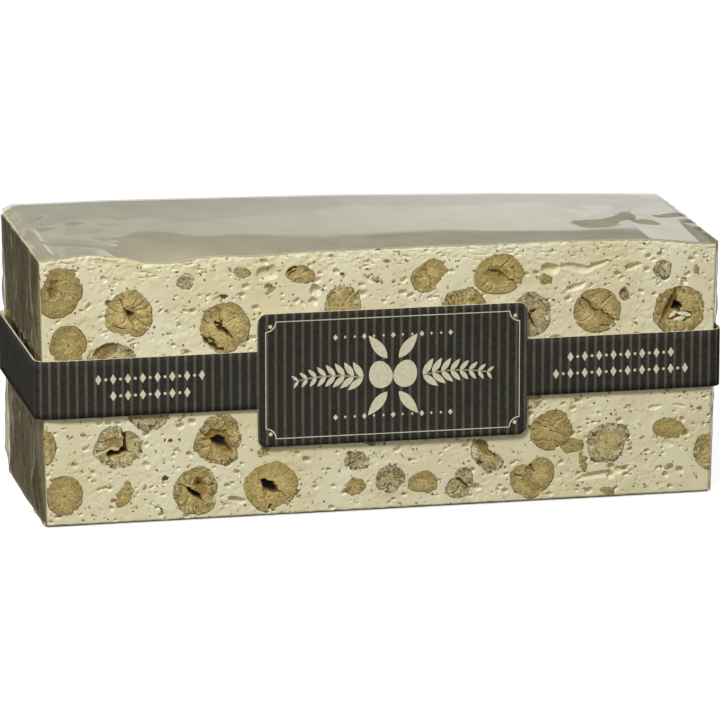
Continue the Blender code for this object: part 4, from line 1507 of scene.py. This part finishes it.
def card_edge(along, z):
    """How far inside the card's outline a point is."""
    in_band = np.minimum(z - BAND_LOW, BAND_HIGH - z)
    middle_x, middle_z = (LABEL_LEFT + LABEL_RIGHT) / 2, (LABEL_LOW + LABEL_HIGH) / 2
    out_x = np.abs(along - middle_x) - (LABEL_RIGHT - LABEL_LEFT) / 2 + LABEL_ROUND
    out_z = np.abs(z - middle_z) - (LABEL_HIGH - LABEL_LOW) / 2 + LABEL_ROUND
    outside = np.hypot(np.maximum(out_x, 0), np.maximum(out_z, 0)) + np.minimum(np.maximum(out_x, out_z), 0)
    return np.maximum(in_band, LABEL_ROUND - outside)


def strip_grid():
    """The flat strip: its points as (along, height) and its quads."""
    points, faces, index = [], [], {}
    last = len(stations) - 1
    for i, along in enumerate(stations):
        in_label = LABEL_LEFT - 1e-3 <= along <= LABEL_RIGHT + 1e-3
        levels = list(np.linspace(BAND_LOW, BAND_HIGH, BAND_CELLS + 1))
        first = 0
        if in_label:
            low, high = label_reach(along)
            levels = list(np.linspace(low, BAND_LOW, LABEL_CELLS + 1))[:-1] + levels
            levels += list(np.linspace(BAND_HIGH, high, LABEL_CELLS + 1))[1:]
            first = -LABEL_CELLS
        for j, z in enumerate(levels):
            index[i, first + j] = len(points)
            points.append((along, z))
    for i in range(last):
        for j in range(-LABEL_CELLS, BAND_CELLS + LABEL_CELLS):
            ring = [(i, j), (i + 1, j), (i + 1, j + 1), (i, j + 1)]
            if all(key in index for key in ring):
                faces.append([index[key] for key in ring])
    return np.array(points), faces


strip, strip_faces = strip_grid()
along, level = strip.T
print("strip:", len(strip_faces), "quads")

# %% [markdown]
# ### How printed card looks
# The ink is charcoal and matt. Pinstripes a little lighter stand 2.14 mm apart, each about 0.6 mm
# wide with soft, slightly broken edges, as ink takes unevenly on laid card. Where the die cut the
# sheet, the pale core shows as a thin line. Uncoated card scatters nearly all light, so it is rough
# and its mirror is turned far down, or the dark ink would look grey from the side.

# %% Finish: charcoal card with pinstripes
STRIPE_PITCH = 2.14
STRIPE_WIDTH = 0.62
card_front, tree, output = new_finish("charcoal_pinstripe_card")
place = add(tree, "ShaderNodeTexCoord").outputs["Object"]
along_card = add(tree, "ShaderNodeAttribute", attribute_name="along").outputs["Fac"]
fibre = add(tree, "ShaderNodeTexNoise", {"Vector": place, "Scale": 1 / 0.0007, "Detail": 5.0}).outputs["Fac"]
patch = add(tree, "ShaderNodeTexNoise", {"Vector": place, "Scale": 1 / 0.004, "Detail": 3.0}).outputs["Fac"]
waver = add(tree, "ShaderNodeMath", {0: fibre, 1: 0.22, 2: -0.11}, operation="MULTIPLY_ADD").outputs[0]
shifted = add(tree, "ShaderNodeMath", {0: along_card, 1: waver}, operation="ADD").outputs[0]
pingpong = add(
    tree, "ShaderNodeMath", {0: shifted, 1: STRIPE_PITCH / 2}, operation="PINGPONG"
).outputs[0]
stripe = add(
    tree,
    "ShaderNodeMapRange",
    {"Value": pingpong, "From Min": STRIPE_WIDTH / 2 + 0.14, "From Max": STRIPE_WIDTH / 2 - 0.14},
).outputs[0]
stripe_level = add(
    tree,
    "ShaderNodeMapRange",
    {"Value": patch, "From Min": 0.3, "From Max": 0.7, "To Min": 0.55, "To Max": 1.0},
).outputs[0]
stripe_share = add(tree, "ShaderNodeMath", {0: stripe, 1: stripe_level}, operation="MULTIPLY").outputs[0]
edge = add(tree, "ShaderNodeAttribute", attribute_name="edge").outputs["Fac"]
frayed = add(tree, "ShaderNodeMath", {0: fibre, 1: 0.12}, operation="MULTIPLY").outputs[0]
raw = add(tree, "ShaderNodeMath", {0: frayed, 1: edge}, operation="SUBTRACT").outputs[0]
colour = layered(
    tree,
    "#2A2823",
    (
        (fibre, 0.3, 0.7, 1.0, "#3A3831"),
        (stripe_share, 0.0, 1.0, 1.0, "#625F53"),
        (raw, -0.02, 0.03, 1.0, "#CFC8AC"),
    ),
)
bump = add(tree, "ShaderNodeBump", {"Height": fibre, "Strength": 0.25, "Distance": 0.0001}).outputs[0]
shader = add(
    tree,
    "ShaderNodeBsdfPrincipled",
    {"Base Color": colour, "Roughness": 0.85, "Specular IOR Level": 0.08, "Normal": bump},
)
tree.links.new(shader.outputs[0], output.inputs[0])

card_core = speck_finish("raw_card_core", "#CFC8AC", 0.85)
strip_mesh = mesh_of(
    "card_band_printed",
    on_band(along, level),
    strip_faces,
    [card_front, card_core],
    {"along": along, "edge": card_edge(along, level)},
)
card = add_piece(strip_mesh, "band_card", "card_band")
thick = card.modifiers.new("card", "SOLIDIFY")
thick.thickness = CARD * MM
thick.offset = -1.0
thick.material_offset = 1
thick.material_offset_rim = 1
print("card band:", len(strip_mesh.polygons), "quads on its outer side")

# %% [markdown]
# ## The print on the label
# The label carries a plain ornament of this lesson's own: a pair of hazelnuts with leaves in the
# middle, a leaf spray to each side and a thin frame with notched corners. The leaves follow a stem,
# so Geometry Nodes set them along a curve, smaller towards its tip. All of it is flat ink, modelled
# as a skin 0.03 mm over the card so that it stays sharp from any distance.

# %% Finish: cream ink
cream_ink, tree, output = new_finish("cream_ink")
place = add(tree, "ShaderNodeTexCoord").outputs["Object"]
wear = add(tree, "ShaderNodeTexNoise", {"Vector": place, "Scale": 1 / 0.0009, "Detail": 4.0}).outputs["Fac"]
colour = layered(tree, "#CFC8A8", [(wear, 0.3, 0.7, 1.0, "#E2DBBE")])
shader = add(tree, "ShaderNodeBsdfPrincipled", {"Base Color": colour, "Roughness": 0.6})
tree.links.new(shader.outputs[0], output.inputs[0])

# %% [markdown]
# ### A leaf spray from Geometry Nodes
# A bent stem is resampled to as many points as there are leaf pairs. A flat leaf is set on each,
# turned to one side of the stem and then, mirrored, to the other.

# %% Geometry Nodes: leaves along a stem
spray, given = new_group(
    "leaf_spray",
    "Leaf",
    "Spray",
    Length="Float",
    Arch="Float",
    Pairs="Int",
    Leaf_Size="Float",
    Leaf_Angle="Float",
    Stem_Width="Float",
    Finish="Material",
)
half_length = add(spray, "ShaderNodeMath", {0: given["Length"], 1: 0.5}, operation="MULTIPLY").outputs[0]
arch_point = add(spray, "ShaderNodeCombineXYZ", {0: half_length, 2: given["Arch"]}).outputs[0]
end_point = add(spray, "ShaderNodeCombineXYZ", {0: given["Length"]}).outputs[0]
stem = add(
    spray,
    "GeometryNodeCurveQuadraticBezier",
    {"Resolution": 24, "Start": (0.0, 0.0, 0.0), "Middle": arch_point, "End": end_point},
).outputs[0]
marks = add(spray, "GeometryNodeResampleCurve", {"Curve": stem, "Count": given["Pairs"]}).outputs[0]
share_along = add(spray, "GeometryNodeSplineParameter").outputs["Factor"]
taper = add(
    spray, "ShaderNodeMapRange", {"Value": share_along, "To Min": 1.0, "To Max": 0.45}
).outputs[0]
leaf_scale = add(spray, "ShaderNodeMath", {0: taper, 1: given["Leaf Size"]}, operation="MULTIPLY").outputs[0]
tangent = add(spray, "GeometryNodeInputTangent").outputs[0]
along_stem = add(spray, "FunctionNodeAlignRotationToVector", {"Vector": tangent}, axis="X").outputs[0]
sides_of_stem = []
for side in (1, -1):
    leaf_turn = add(
        spray, "ShaderNodeMath", {0: given["Leaf Angle"], 1: -side}, operation="MULTIPLY"
    ).outputs[0]
    tilt = add(spray, "ShaderNodeCombineXYZ", {1: leaf_turn}).outputs[0]
    leaf_rotation = add(
        spray, "FunctionNodeRotateRotation", {0: along_stem, 1: tilt}, rotation_space="LOCAL"
    ).outputs[0]
    sides_of_stem.append(
        add(
            spray,
            "GeometryNodeInstanceOnPoints",
            {"Points": marks, "Instance": given["Leaf"], "Rotation": leaf_rotation, "Scale": leaf_scale},
        ).outputs[0]
    )
stem_wire = add(
    spray, "GeometryNodeCurvePrimitiveQuadrilateral", {0: given["Stem Width"], 1: given["Stem Width"]}
)
stem_mesh = add(
    spray, "GeometryNodeCurveToMesh", {"Curve": stem, "Profile Curve": stem_wire.outputs[0]}
).outputs[0]
together = add(spray, "GeometryNodeJoinGeometry")
for geometry in (*sides_of_stem, stem_mesh):
    spray.links.new(geometry, together.inputs[0])
real = add(spray, "GeometryNodeRealizeInstances", {0: together.outputs[0]}).outputs[0]
dressed = add(spray, "GeometryNodeSetMaterial", {"Geometry": real, "Material": given["Finish"]}).outputs[0]
add(spray, "NodeGroupOutput", {0: dressed})


def flat_shape(name, outline):
    """A flat filled outline in millimetres, as a mesh in the XZ plane that faces the viewer."""
    points = np.stack([outline[:, 0], np.zeros(len(outline)), outline[:, 1]], 1)
    return mesh_of(name, points, [list(range(len(points)))], [cream_ink], smooth=False)


def leaf_outline(length, width, count=14):
    """A pointed leaf that grows from the origin along +X."""
    share = np.linspace(0, 1, count)
    half = width / 2 * np.sin(pi * share) ** 0.8 * (1 - 0.35 * share)
    upper = np.stack([share * length, half], 1)
    lower = np.stack([share * length, -half], 1)[::-1][1:-1]
    return np.vstack([lower[::-1], upper[::-1]])


leaf = flat_shape("leaf", leaf_outline(1.0, 0.42))
spray_mesh = from_nodes(
    "leaf_spray",
    spray,
    leaf,
    {
        "Length": 15.5 * MM,
        "Arch": 1.6 * MM,
        "Pairs": 8,
        "Leaf Size": 4.6,
        "Leaf Angle": radians(48),
        "Stem Width": 0.32 * MM,
        "Finish": cream_ink,
    },
)
spray_points = np.array([list(v.co) for v in spray_mesh.vertices]) / MM
spray_faces = [list(p.vertices) for p in spray_mesh.polygons]
print("leaf spray:", len(spray_faces), "faces", spray_points.min(0).round(1), spray_points.max(0).round(1))

# %% [markdown]
# ### The other motifs
# The rest is drawn from outlines that a formula gives: ovals for the nuts, a notched ring for the
# frame, and rows of lozenges and dots, which break up the stripes at the sides of the band.

# %% Outlines of the motifs


def ring_of(outer, inner):
    """Quads between two outlines with equally many points."""
    count = len(outer)
    points = np.vstack([outer, inner])
    return points, [[i, (i + 1) % count, count + (i + 1) % count, count + i] for i in range(count)]


def blob(middle, width, height, pinch=0.0, turn_by=0.0, count=40):
    """An oval that narrows towards its top by pinch."""
    a = np.linspace(0, 2 * pi, count, endpoint=False)
    x = width / 2 * np.cos(a) * (1 - pinch * np.sin(a))
    z = height / 2 * np.sin(a)
    t = radians(turn_by)
    return np.stack([middle[0] + x * cos(t) - z * sin(t), middle[1] + x * sin(t) + z * cos(t)], 1)


def notched(left, right, low, high, notch, count=7):
    """A frame's outline with a round notch bitten out of each corner."""
    points = []
    for x, z, start in ((right, low, 180), (right, high, 270), (left, high, 0), (left, low, 90)):
        turns = np.radians(start - np.linspace(0, 90, count))
        points.append(np.stack([x + notch * np.cos(turns), z + notch * np.sin(turns)], 1))
    return np.vstack(points)


def lozenge(middle, width, height):
    """A square that stands on its corner, drawn out in one direction."""
    x, z = middle
    return np.array([(x, z - height / 2), (x + width / 2, z), (x, z + height / 2), (x - width / 2, z)])


def filled(outline):
    """An outline as its points and one face."""
    return outline, [list(range(len(outline)))]


FRAME_INSET, FRAME_WIDTH, FRAME_NOTCH = 1.9, 0.20, 2.4
ROW_PITCH = 1.75  # of the lozenges and dots beside the label
middle = np.array([(LABEL_LEFT + LABEL_RIGHT) / 2, (LABEL_LOW + LABEL_HIGH) / 2])
label = np.array([LABEL_LEFT, LABEL_RIGHT, LABEL_LOW, LABEL_HIGH])
inwards = np.array([1, -1, 1, -1])
outer = label + FRAME_INSET * inwards
inner = outer + FRAME_WIDTH * inwards
shapes = [ring_of(notched(*outer, FRAME_NOTCH), notched(*inner, FRAME_NOTCH))]
for side in (-1, 1):
    nut_middle = middle + (side * 3.0, 0.2)
    tilt = -side * 16
    shapes.append(filled(blob(nut_middle, 5.6, 6.6, 0.10, tilt)))
    for end in (-1, 1):
        corner = middle + (side * ((LABEL_RIGHT - LABEL_LEFT) / 2 - 3.1), end * 12.9)
        shapes.append(filled(blob(corner, 0.9, 0.9, count=20)))
    for sprig in (-1, 1):
        leaf_points = leaf_outline(7.2, 3.0)
        t = radians(90 - side * 38) if sprig > 0 else radians(-90 + side * 40)
        turned = np.stack(
            [leaf_points[:, 0] * cos(t) - leaf_points[:, 1] * sin(t),
             leaf_points[:, 0] * sin(t) + leaf_points[:, 1] * cos(t)], 1
        )
        shapes.append(filled(turned + middle + (side * 1.4, sprig * 4.0)))
for row in (9.6, -9.6):
    for i in range(-6, 7):
        size = 0.62 if i % 3 else 1.15
        shapes.append(filled(lozenge(middle + (i * 2.3, row), size, size * 1.25)))
for centre_x, row, half in ((-55.5, 35.0, 13.0), (-55.5, 31.0, 9.5), (57.5, 35.0, 13.0), (57.5, 31.0, 16.0)):
    count = int(2 * half / ROW_PITCH) // 2 * 2 + 1
    for i in range(count):
        x = centre_x + (i - (count - 1) / 2) * ROW_PITCH
        if i % 2:
            shapes.append(filled(blob((x, row), 0.7, 0.7, count=20)))
        else:
            shapes.append(filled(lozenge((x, row), 1.5, 2.4)))
print("motifs:", len(shapes))

# %% [markdown]
# ### Ink on the card
# Every flat shape is carried to the card by the same function that bent the card, so the ink follows
# its bow. Long faces are cut first, so that they can follow it, and a thin Solidify closes them.

# %% Join the print and lay it on the card
INK = 0.03


def add_print(name, parts):
    """Flat shapes in (across, up) as one thin piece on the card's face."""
    sketch = bmesh.new()
    for outline, faces in parts:
        corners_of = [sketch.verts.new((x, 0.0, z)) for x, z in outline]
        for face in faces:
            sketch.faces.new([corners_of[i] for i in face])
    bmesh.ops.triangulate(sketch, faces=sketch.faces)
    for axis in range(int(LABEL_LEFT) - 52, int(LABEL_RIGHT) + 46, 4):
        geometry = sketch.verts[:] + sketch.edges[:] + sketch.faces[:]
        bmesh.ops.bisect_plane(sketch, geom=geometry, plane_co=(axis, 0, 0), plane_no=(1, 0, 0))
    for face in sketch.faces:
        face.normal_update()
        if face.normal.y > 0:
            face.normal_flip()
    flat = np.array([list(v.co) for v in sketch.verts])
    sketch.verts.index_update()
    faces = [[v.index for v in face.verts] for face in sketch.faces]
    sketch.free()
    made = mesh_of(name, on_band(flat[:, 0], flat[:, 2], INK), faces, [cream_ink], smooth=False)
    piece = add_piece(made, "band_card")
    thick = piece.modifiers.new("ink", "SOLIDIFY")
    thick.thickness = INK * 0.9 * MM
    thick.offset = -1.0
    return piece


add_print("printed_motifs", shapes)
spray_parts = []
for side in (-1, 1):
    flat = np.stack([side * (spray_points[:, 0] + 7.2), spray_points[:, 2] - 0.4], 1) + middle
    faces = spray_faces if side > 0 else [face[::-1] for face in spray_faces]
    spray_parts.append((flat, faces))
add_print("printed_leaf_sprays", spray_parts)
print("ink", INK, "mm thick")

# %% [markdown]
# ## The clear film
# Clear film is drawn tight round the long sides. On top it lies over the wafer with a slight crown
# and soft waves, which is what bends the mirrored strip of light into bands. The front stays clear.
# At the left end the film slumps into the end folds, and at the right it is crushed into facets.

# %% The film round the long sides
FILM_OFF = 0.24
CROWN = 0.42


def film_loop():
    """The section of the film: (y, share of the height, way out) from the front's foot round."""
    front = np.linspace(0, 1, 42)
    top = np.linspace(-1, 1, 84)
    loop = [(-1.0, s, (-1.0, 0.0)) for s in front[:-1]]
    loop += [(-1.0, 1.0, (-0.7, 0.7))]
    loop += [(t, 1.0, (0.0, 1.0)) for t in top[1:-1]]
    loop += [(1.0, 1.0, (0.7, 0.7))]
    loop += [(1.0, s, (1.0, 0.0)) for s in front[::-1][1:-1:2]]
    loop += [(1.0, 0.0, (0.7, -0.7))]
    loop += [(t, 0.0, (0.0, -1.0)) for t in np.linspace(1, -1, 20)[1:-1]]
    loop += [(-1.0, 0.0, (-0.7, -0.7))]
    return loop[1:]


# A fold in the film on top, from one point to another in (x, y): its height and its half width.
Fold = namedtuple("Fold", "x0 y0 x1 y1 high wide")
TOP_FOLDS = [
    Fold(56, -9.4, 66.5, 1.2, 0.30, 4.0),
    Fold(66.5, 1.2, 69.0, -9.4, 0.26, 3.5),
    Fold(69.0, -9.4, 72.5, -1.0, 0.30, 3.0),
    Fold(72.5, -1.0, 80.0, 3.0, 0.30, 2.5),
    Fold(56, -9.4, 47.0, 18.5, 0.20, 7.0),
    Fold(66.5, 1.2, 78.0, 16.0, 0.16, 4.0),
    Fold(-78.6, -2.0, -78.0, -27.5, 0.35, 1.0),
    Fold(-80.5, 4.0, -74.0, 14.0, 0.30, 1.6),
    Fold(-79.0, 0.0, -66.0, 8.0, 0.18, 4.0),
    Fold(-77.0, -12.0, -62.0, -19.0, 0.16, 3.0),
]


def fold_over(x, y, fold):
    """The height of one sharp fold, which fades out at both ends."""
    start, along = np.array([fold.x0, fold.y0]), np.array([fold.x1 - fold.x0, fold.y1 - fold.y0])
    length = np.hypot(*along)
    unit = along / length
    run = (x - start[0]) * unit[0] + (y - start[1]) * unit[1]
    off = np.abs((y - start[1]) * unit[0] - (x - start[0]) * unit[1])
    ends = step(-0.2 * length, 0.15 * length, run) * step(1.2 * length, 0.85 * length, run)
    return fold.high * ends * np.clip(1 - off / fold.wide, 0, 1)


loop = film_loop()
film_x = np.linspace(-1, 1, 330)
y_share = np.array([p[0] for p in loop])
z_share = np.array([p[1] for p in loop])
way = np.array([p[2] for p in loop])
lengthwise, around = np.meshgrid(film_x, np.arange(len(loop)), indexing="ij")
on_y, on_z = y_share[around], z_share[around]
out_y, out_z = way[around, 0], way[around, 1]
y = on_y * HALF_DEPTH
z = on_z * top_at(lengthwise * HALF_LOW, y)
x = lengthwise * (end_at(z) + 0.25)
is_top = (out_z > 0.9).astype(float)
near_left = step(-30, -70, x)
crown = CROWN * (1 - on_y**2) * is_top
waves = is_top * (0.05 * rough(x, y, 24, 51) + 0.012 * rough(x * 0.6, y, 9, 52))
slump = is_top * near_left * (0.16 * rough(x * 0.7, y, 9, 53) + 0.03 * rough(x, y, 4, 54))
crush = is_top * sum(fold_over(x, y, fold) for fold in TOP_FOLDS)
side_waves = (1 - is_top) * 0.03 * rough(x, z, 13, 57)
edge_pull = np.clip(1 - (HALF_HIGH + 0.2 - np.abs(x)) / 3.0, 0, 1) * 0.05 * rough(y, z * 1.4, 2.0, 58)
off = FILM_OFF + crown + waves + slump + crush + side_waves + edge_pull
off = np.maximum(off, 0.10)
film_points = np.stack([x, y + out_y * off, z + out_z * off * (out_z > 0) + out_z * 0.04 * (out_z < 0)], -1)
film_points = film_points.reshape(-1, 3)
film_faces = grid_quads(len(film_x), len(loop), closed=True)[:, ::-1]
print("film skin:", len(film_faces), "quads")

# %% [markdown]
# ### How film looks
# Clear film has hardly any colour: it shows by what it mirrors, a little when seen straight on and
# much more at a low angle. A Fresnel node would do, but from behind it takes the film for the surface
# of a solid and blocks the light on its way out. So the share of mirror is worked out from the angle
# alone, as its fifth power, which is the same from both sides. Along its sharp creases the folded film
# is painted matt white, a painted highlight for the light that such folds catch, and a value says how
# strongly each point is painted.

# %% Finish: clear folded film


def film_finish(name, tint, mirror_tint, gain, least, roughness, painted_crease_highlight=False):
    """Clear film. It mirrors least where it is seen straight on, and gain more at a low angle.

    With painted_crease_highlight, its value "crease" says how thick a painted white highlight lies on it.
    """
    made, tree, output = new_finish(name)
    facing = add(tree, "ShaderNodeLayerWeight", {"Blend": 0.5}).outputs["Facing"]
    grazing = add(tree, "ShaderNodeMath", {0: facing, 1: 5.0}, operation="POWER").outputs[0]
    mirror = add(
        tree, "ShaderNodeMath", {0: grazing, 1: gain, 2: least}, operation="MULTIPLY_ADD", use_clamp=True
    ).outputs[0]
    clear = add(tree, "ShaderNodeBsdfTransparent", {"Color": linear(tint)}).outputs[0]
    gloss = add(
        tree, "ShaderNodeBsdfGlossy", {"Color": linear(mirror_tint), "Roughness": roughness}
    ).outputs[0]
    film = add(tree, "ShaderNodeMixShader", {0: mirror, 1: clear, 2: gloss}).outputs[0]
    if painted_crease_highlight:
        # The painted highlight: matt white along the creases, for the light that sharp folds catch.
        crease = add(tree, "ShaderNodeAttribute", attribute_name="crease").outputs["Fac"]
        white = add(tree, "ShaderNodeBsdfDiffuse", {"Color": linear("#CFCCBD")}).outputs[0]
        film = add(tree, "ShaderNodeMixShader", {0: crease, 1: film, 2: white}).outputs[0]
    tree.links.new(film, output.inputs[0])
    return made


film_flat = film_finish(
    "clear_film_flat", "#FCFCFA", "#F8F8F6", gain=1.34, least=0.012, roughness=0.03
)
# The folded film's tint is greyer than clear film: partly the haze of crumpled layers, partly painted shade
# that darkens the ends.
film_folded = film_finish(
    "clear_film_folded", "#DFDACB", "#CCC6B0", gain=1.4, least=0.08, roughness=0.05, painted_crease_highlight=True
)
film_mesh = mesh_of("film_round_sides", film_points, film_faces, [film_flat])
add_piece(film_mesh, "film")

# %% [markdown]
# ### The folded ends
# A parcel fold closes each end: the sides are tucked in, then a flap comes down from the top and one
# comes up from below. Nobody folds film flat, so every layer is full of sharp creases, most of them
# upright. A crease is a straight line where the sheet stands up in a sharp ridge, and a painted
# highlight in white runs along it.

# %% Build the folded ends
CREASES = 46  # in each layer
MOST_RELIEF = 1.6
LEAST_RELIEF = 0.5  # where the band presses the layers flat


def creases(y, z, seed, count):
    """Many sharp ridges on a sheet: their height and their painted highlight. Most run nearly upright."""
    random = np.random.default_rng(seed)
    raised = np.zeros_like(y)
    painted_crease_highlight = np.zeros_like(y)
    for _ in range(count):
        y0, z0 = random.uniform(-27, 27), random.uniform(4, 60)
        lean = random.normal(0, 0.28) if random.random() < 0.75 else random.uniform(-1.2, 1.2)
        length = random.uniform(8, 34)
        across_line = (y - y0) * cos(lean) - (z - z0) * sin(lean)
        along_line = (y - y0) * sin(lean) + (z - z0) * cos(lean)
        fade = step(length / 2, length / 4, np.abs(along_line))
        raised += random.uniform(0.15, 0.55) * fade * np.exp(-np.abs(across_line) / random.uniform(0.5, 1.6))
        # How strongly this crease's painted highlight shows.
        line = random.uniform(0.1, 0.75) ** 2 * fade * np.exp(-((across_line / 0.45) ** 2))
        painted_crease_highlight = np.maximum(painted_crease_highlight, line)
    return raised, painted_crease_highlight


def end_sheet(side, root, tip, start_up, end_up, off, seed, cells=(170, 110)):
    """One layer of folded film over an end: from its root's half width to its tip's."""
    t, s = np.meshgrid(np.linspace(0, 1, cells[1]), np.linspace(-1, 1, cells[0]), indexing="ij")
    y = s * (root + (tip - root) * t)
    z = start_up + (end_up - start_up) * t
    hold = step(1.0, 0.94, np.abs(s))
    under_band = step(BAND_LOW - 4, BAND_LOW, z) * step(BAND_HIGH + 4, BAND_HIGH, z)
    raised, painted_crease_highlight = creases(y, z, seed, CREASES)
    # Ridges, upright streaks, sloping folds and broad swells. The band presses most of them flat.
    relief = raised * (1 - 0.75 * under_band) * hold
    relief += 0.12 * np.abs(rough(y, z * 0.16, 1.3, seed + 5)) * hold
    level = step(0, 6, z) * step(HEIGHT_RIGHT, HEIGHT_RIGHT - 6, z)
    relief += 0.55 * level * np.abs(rough(y * 0.7 + z * 0.4, z * 0.9, 6, seed + 8)) * (1 - under_band) * hold
    relief += 0.35 * np.clip(rough(y, z, 14, seed + 6), 0, 1) * (1 - under_band) * hold
    relief = np.minimum(relief, MOST_RELIEF - (MOST_RELIEF - LEAST_RELIEF) * under_band)
    x = side * (end_at(z) + off + relief)
    points = np.stack([x, y, z], -1).reshape(-1, 3)
    quads = grid_quads(cells[1], cells[0])
    faces_out = (side > 0) == (end_up > start_up)
    return points, (quads if faces_out else quads[:, ::-1]).tolist(), {"crease": painted_crease_highlight.ravel()}


for side, word in ((-1, "left"), (1, "right")):
    high = HEIGHT_LEFT if side < 0 else HEIGHT_RIGHT
    seed = 70 if side < 0 else 80
    root = HALF_DEPTH + 0.1
    layers = [
        end_sheet(side, root, root, 0.15, high + 0.1, 0.22, seed),
        end_sheet(side, root - 0.6, 0.45 * root, high - 0.2, 0.40 * high, 0.42, seed + 1),
        end_sheet(side, root - 1.0, 0.5 * root, 0.6, 0.34 * high, 0.42, seed + 2),
    ]
    folds = joined(f"film_folds_{word}", layers, film_folded, "film", f"film_end_{word}")
    print(word, "end:", len(folds.data.polygons), "quads")

# %% [markdown]
# ## How much the block has grown
# The dressed block's box is set against the imported one, and how much each side has grown is
# printed; film may add a little.

# %% Compare the boxes and finish
new_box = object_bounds()
grown = [round((b - a) / MM, 2) for a, b in zip(cad_box[1] - cad_box[0], new_box[1] - new_box[0])]
print("grown by, in mm:", grown)
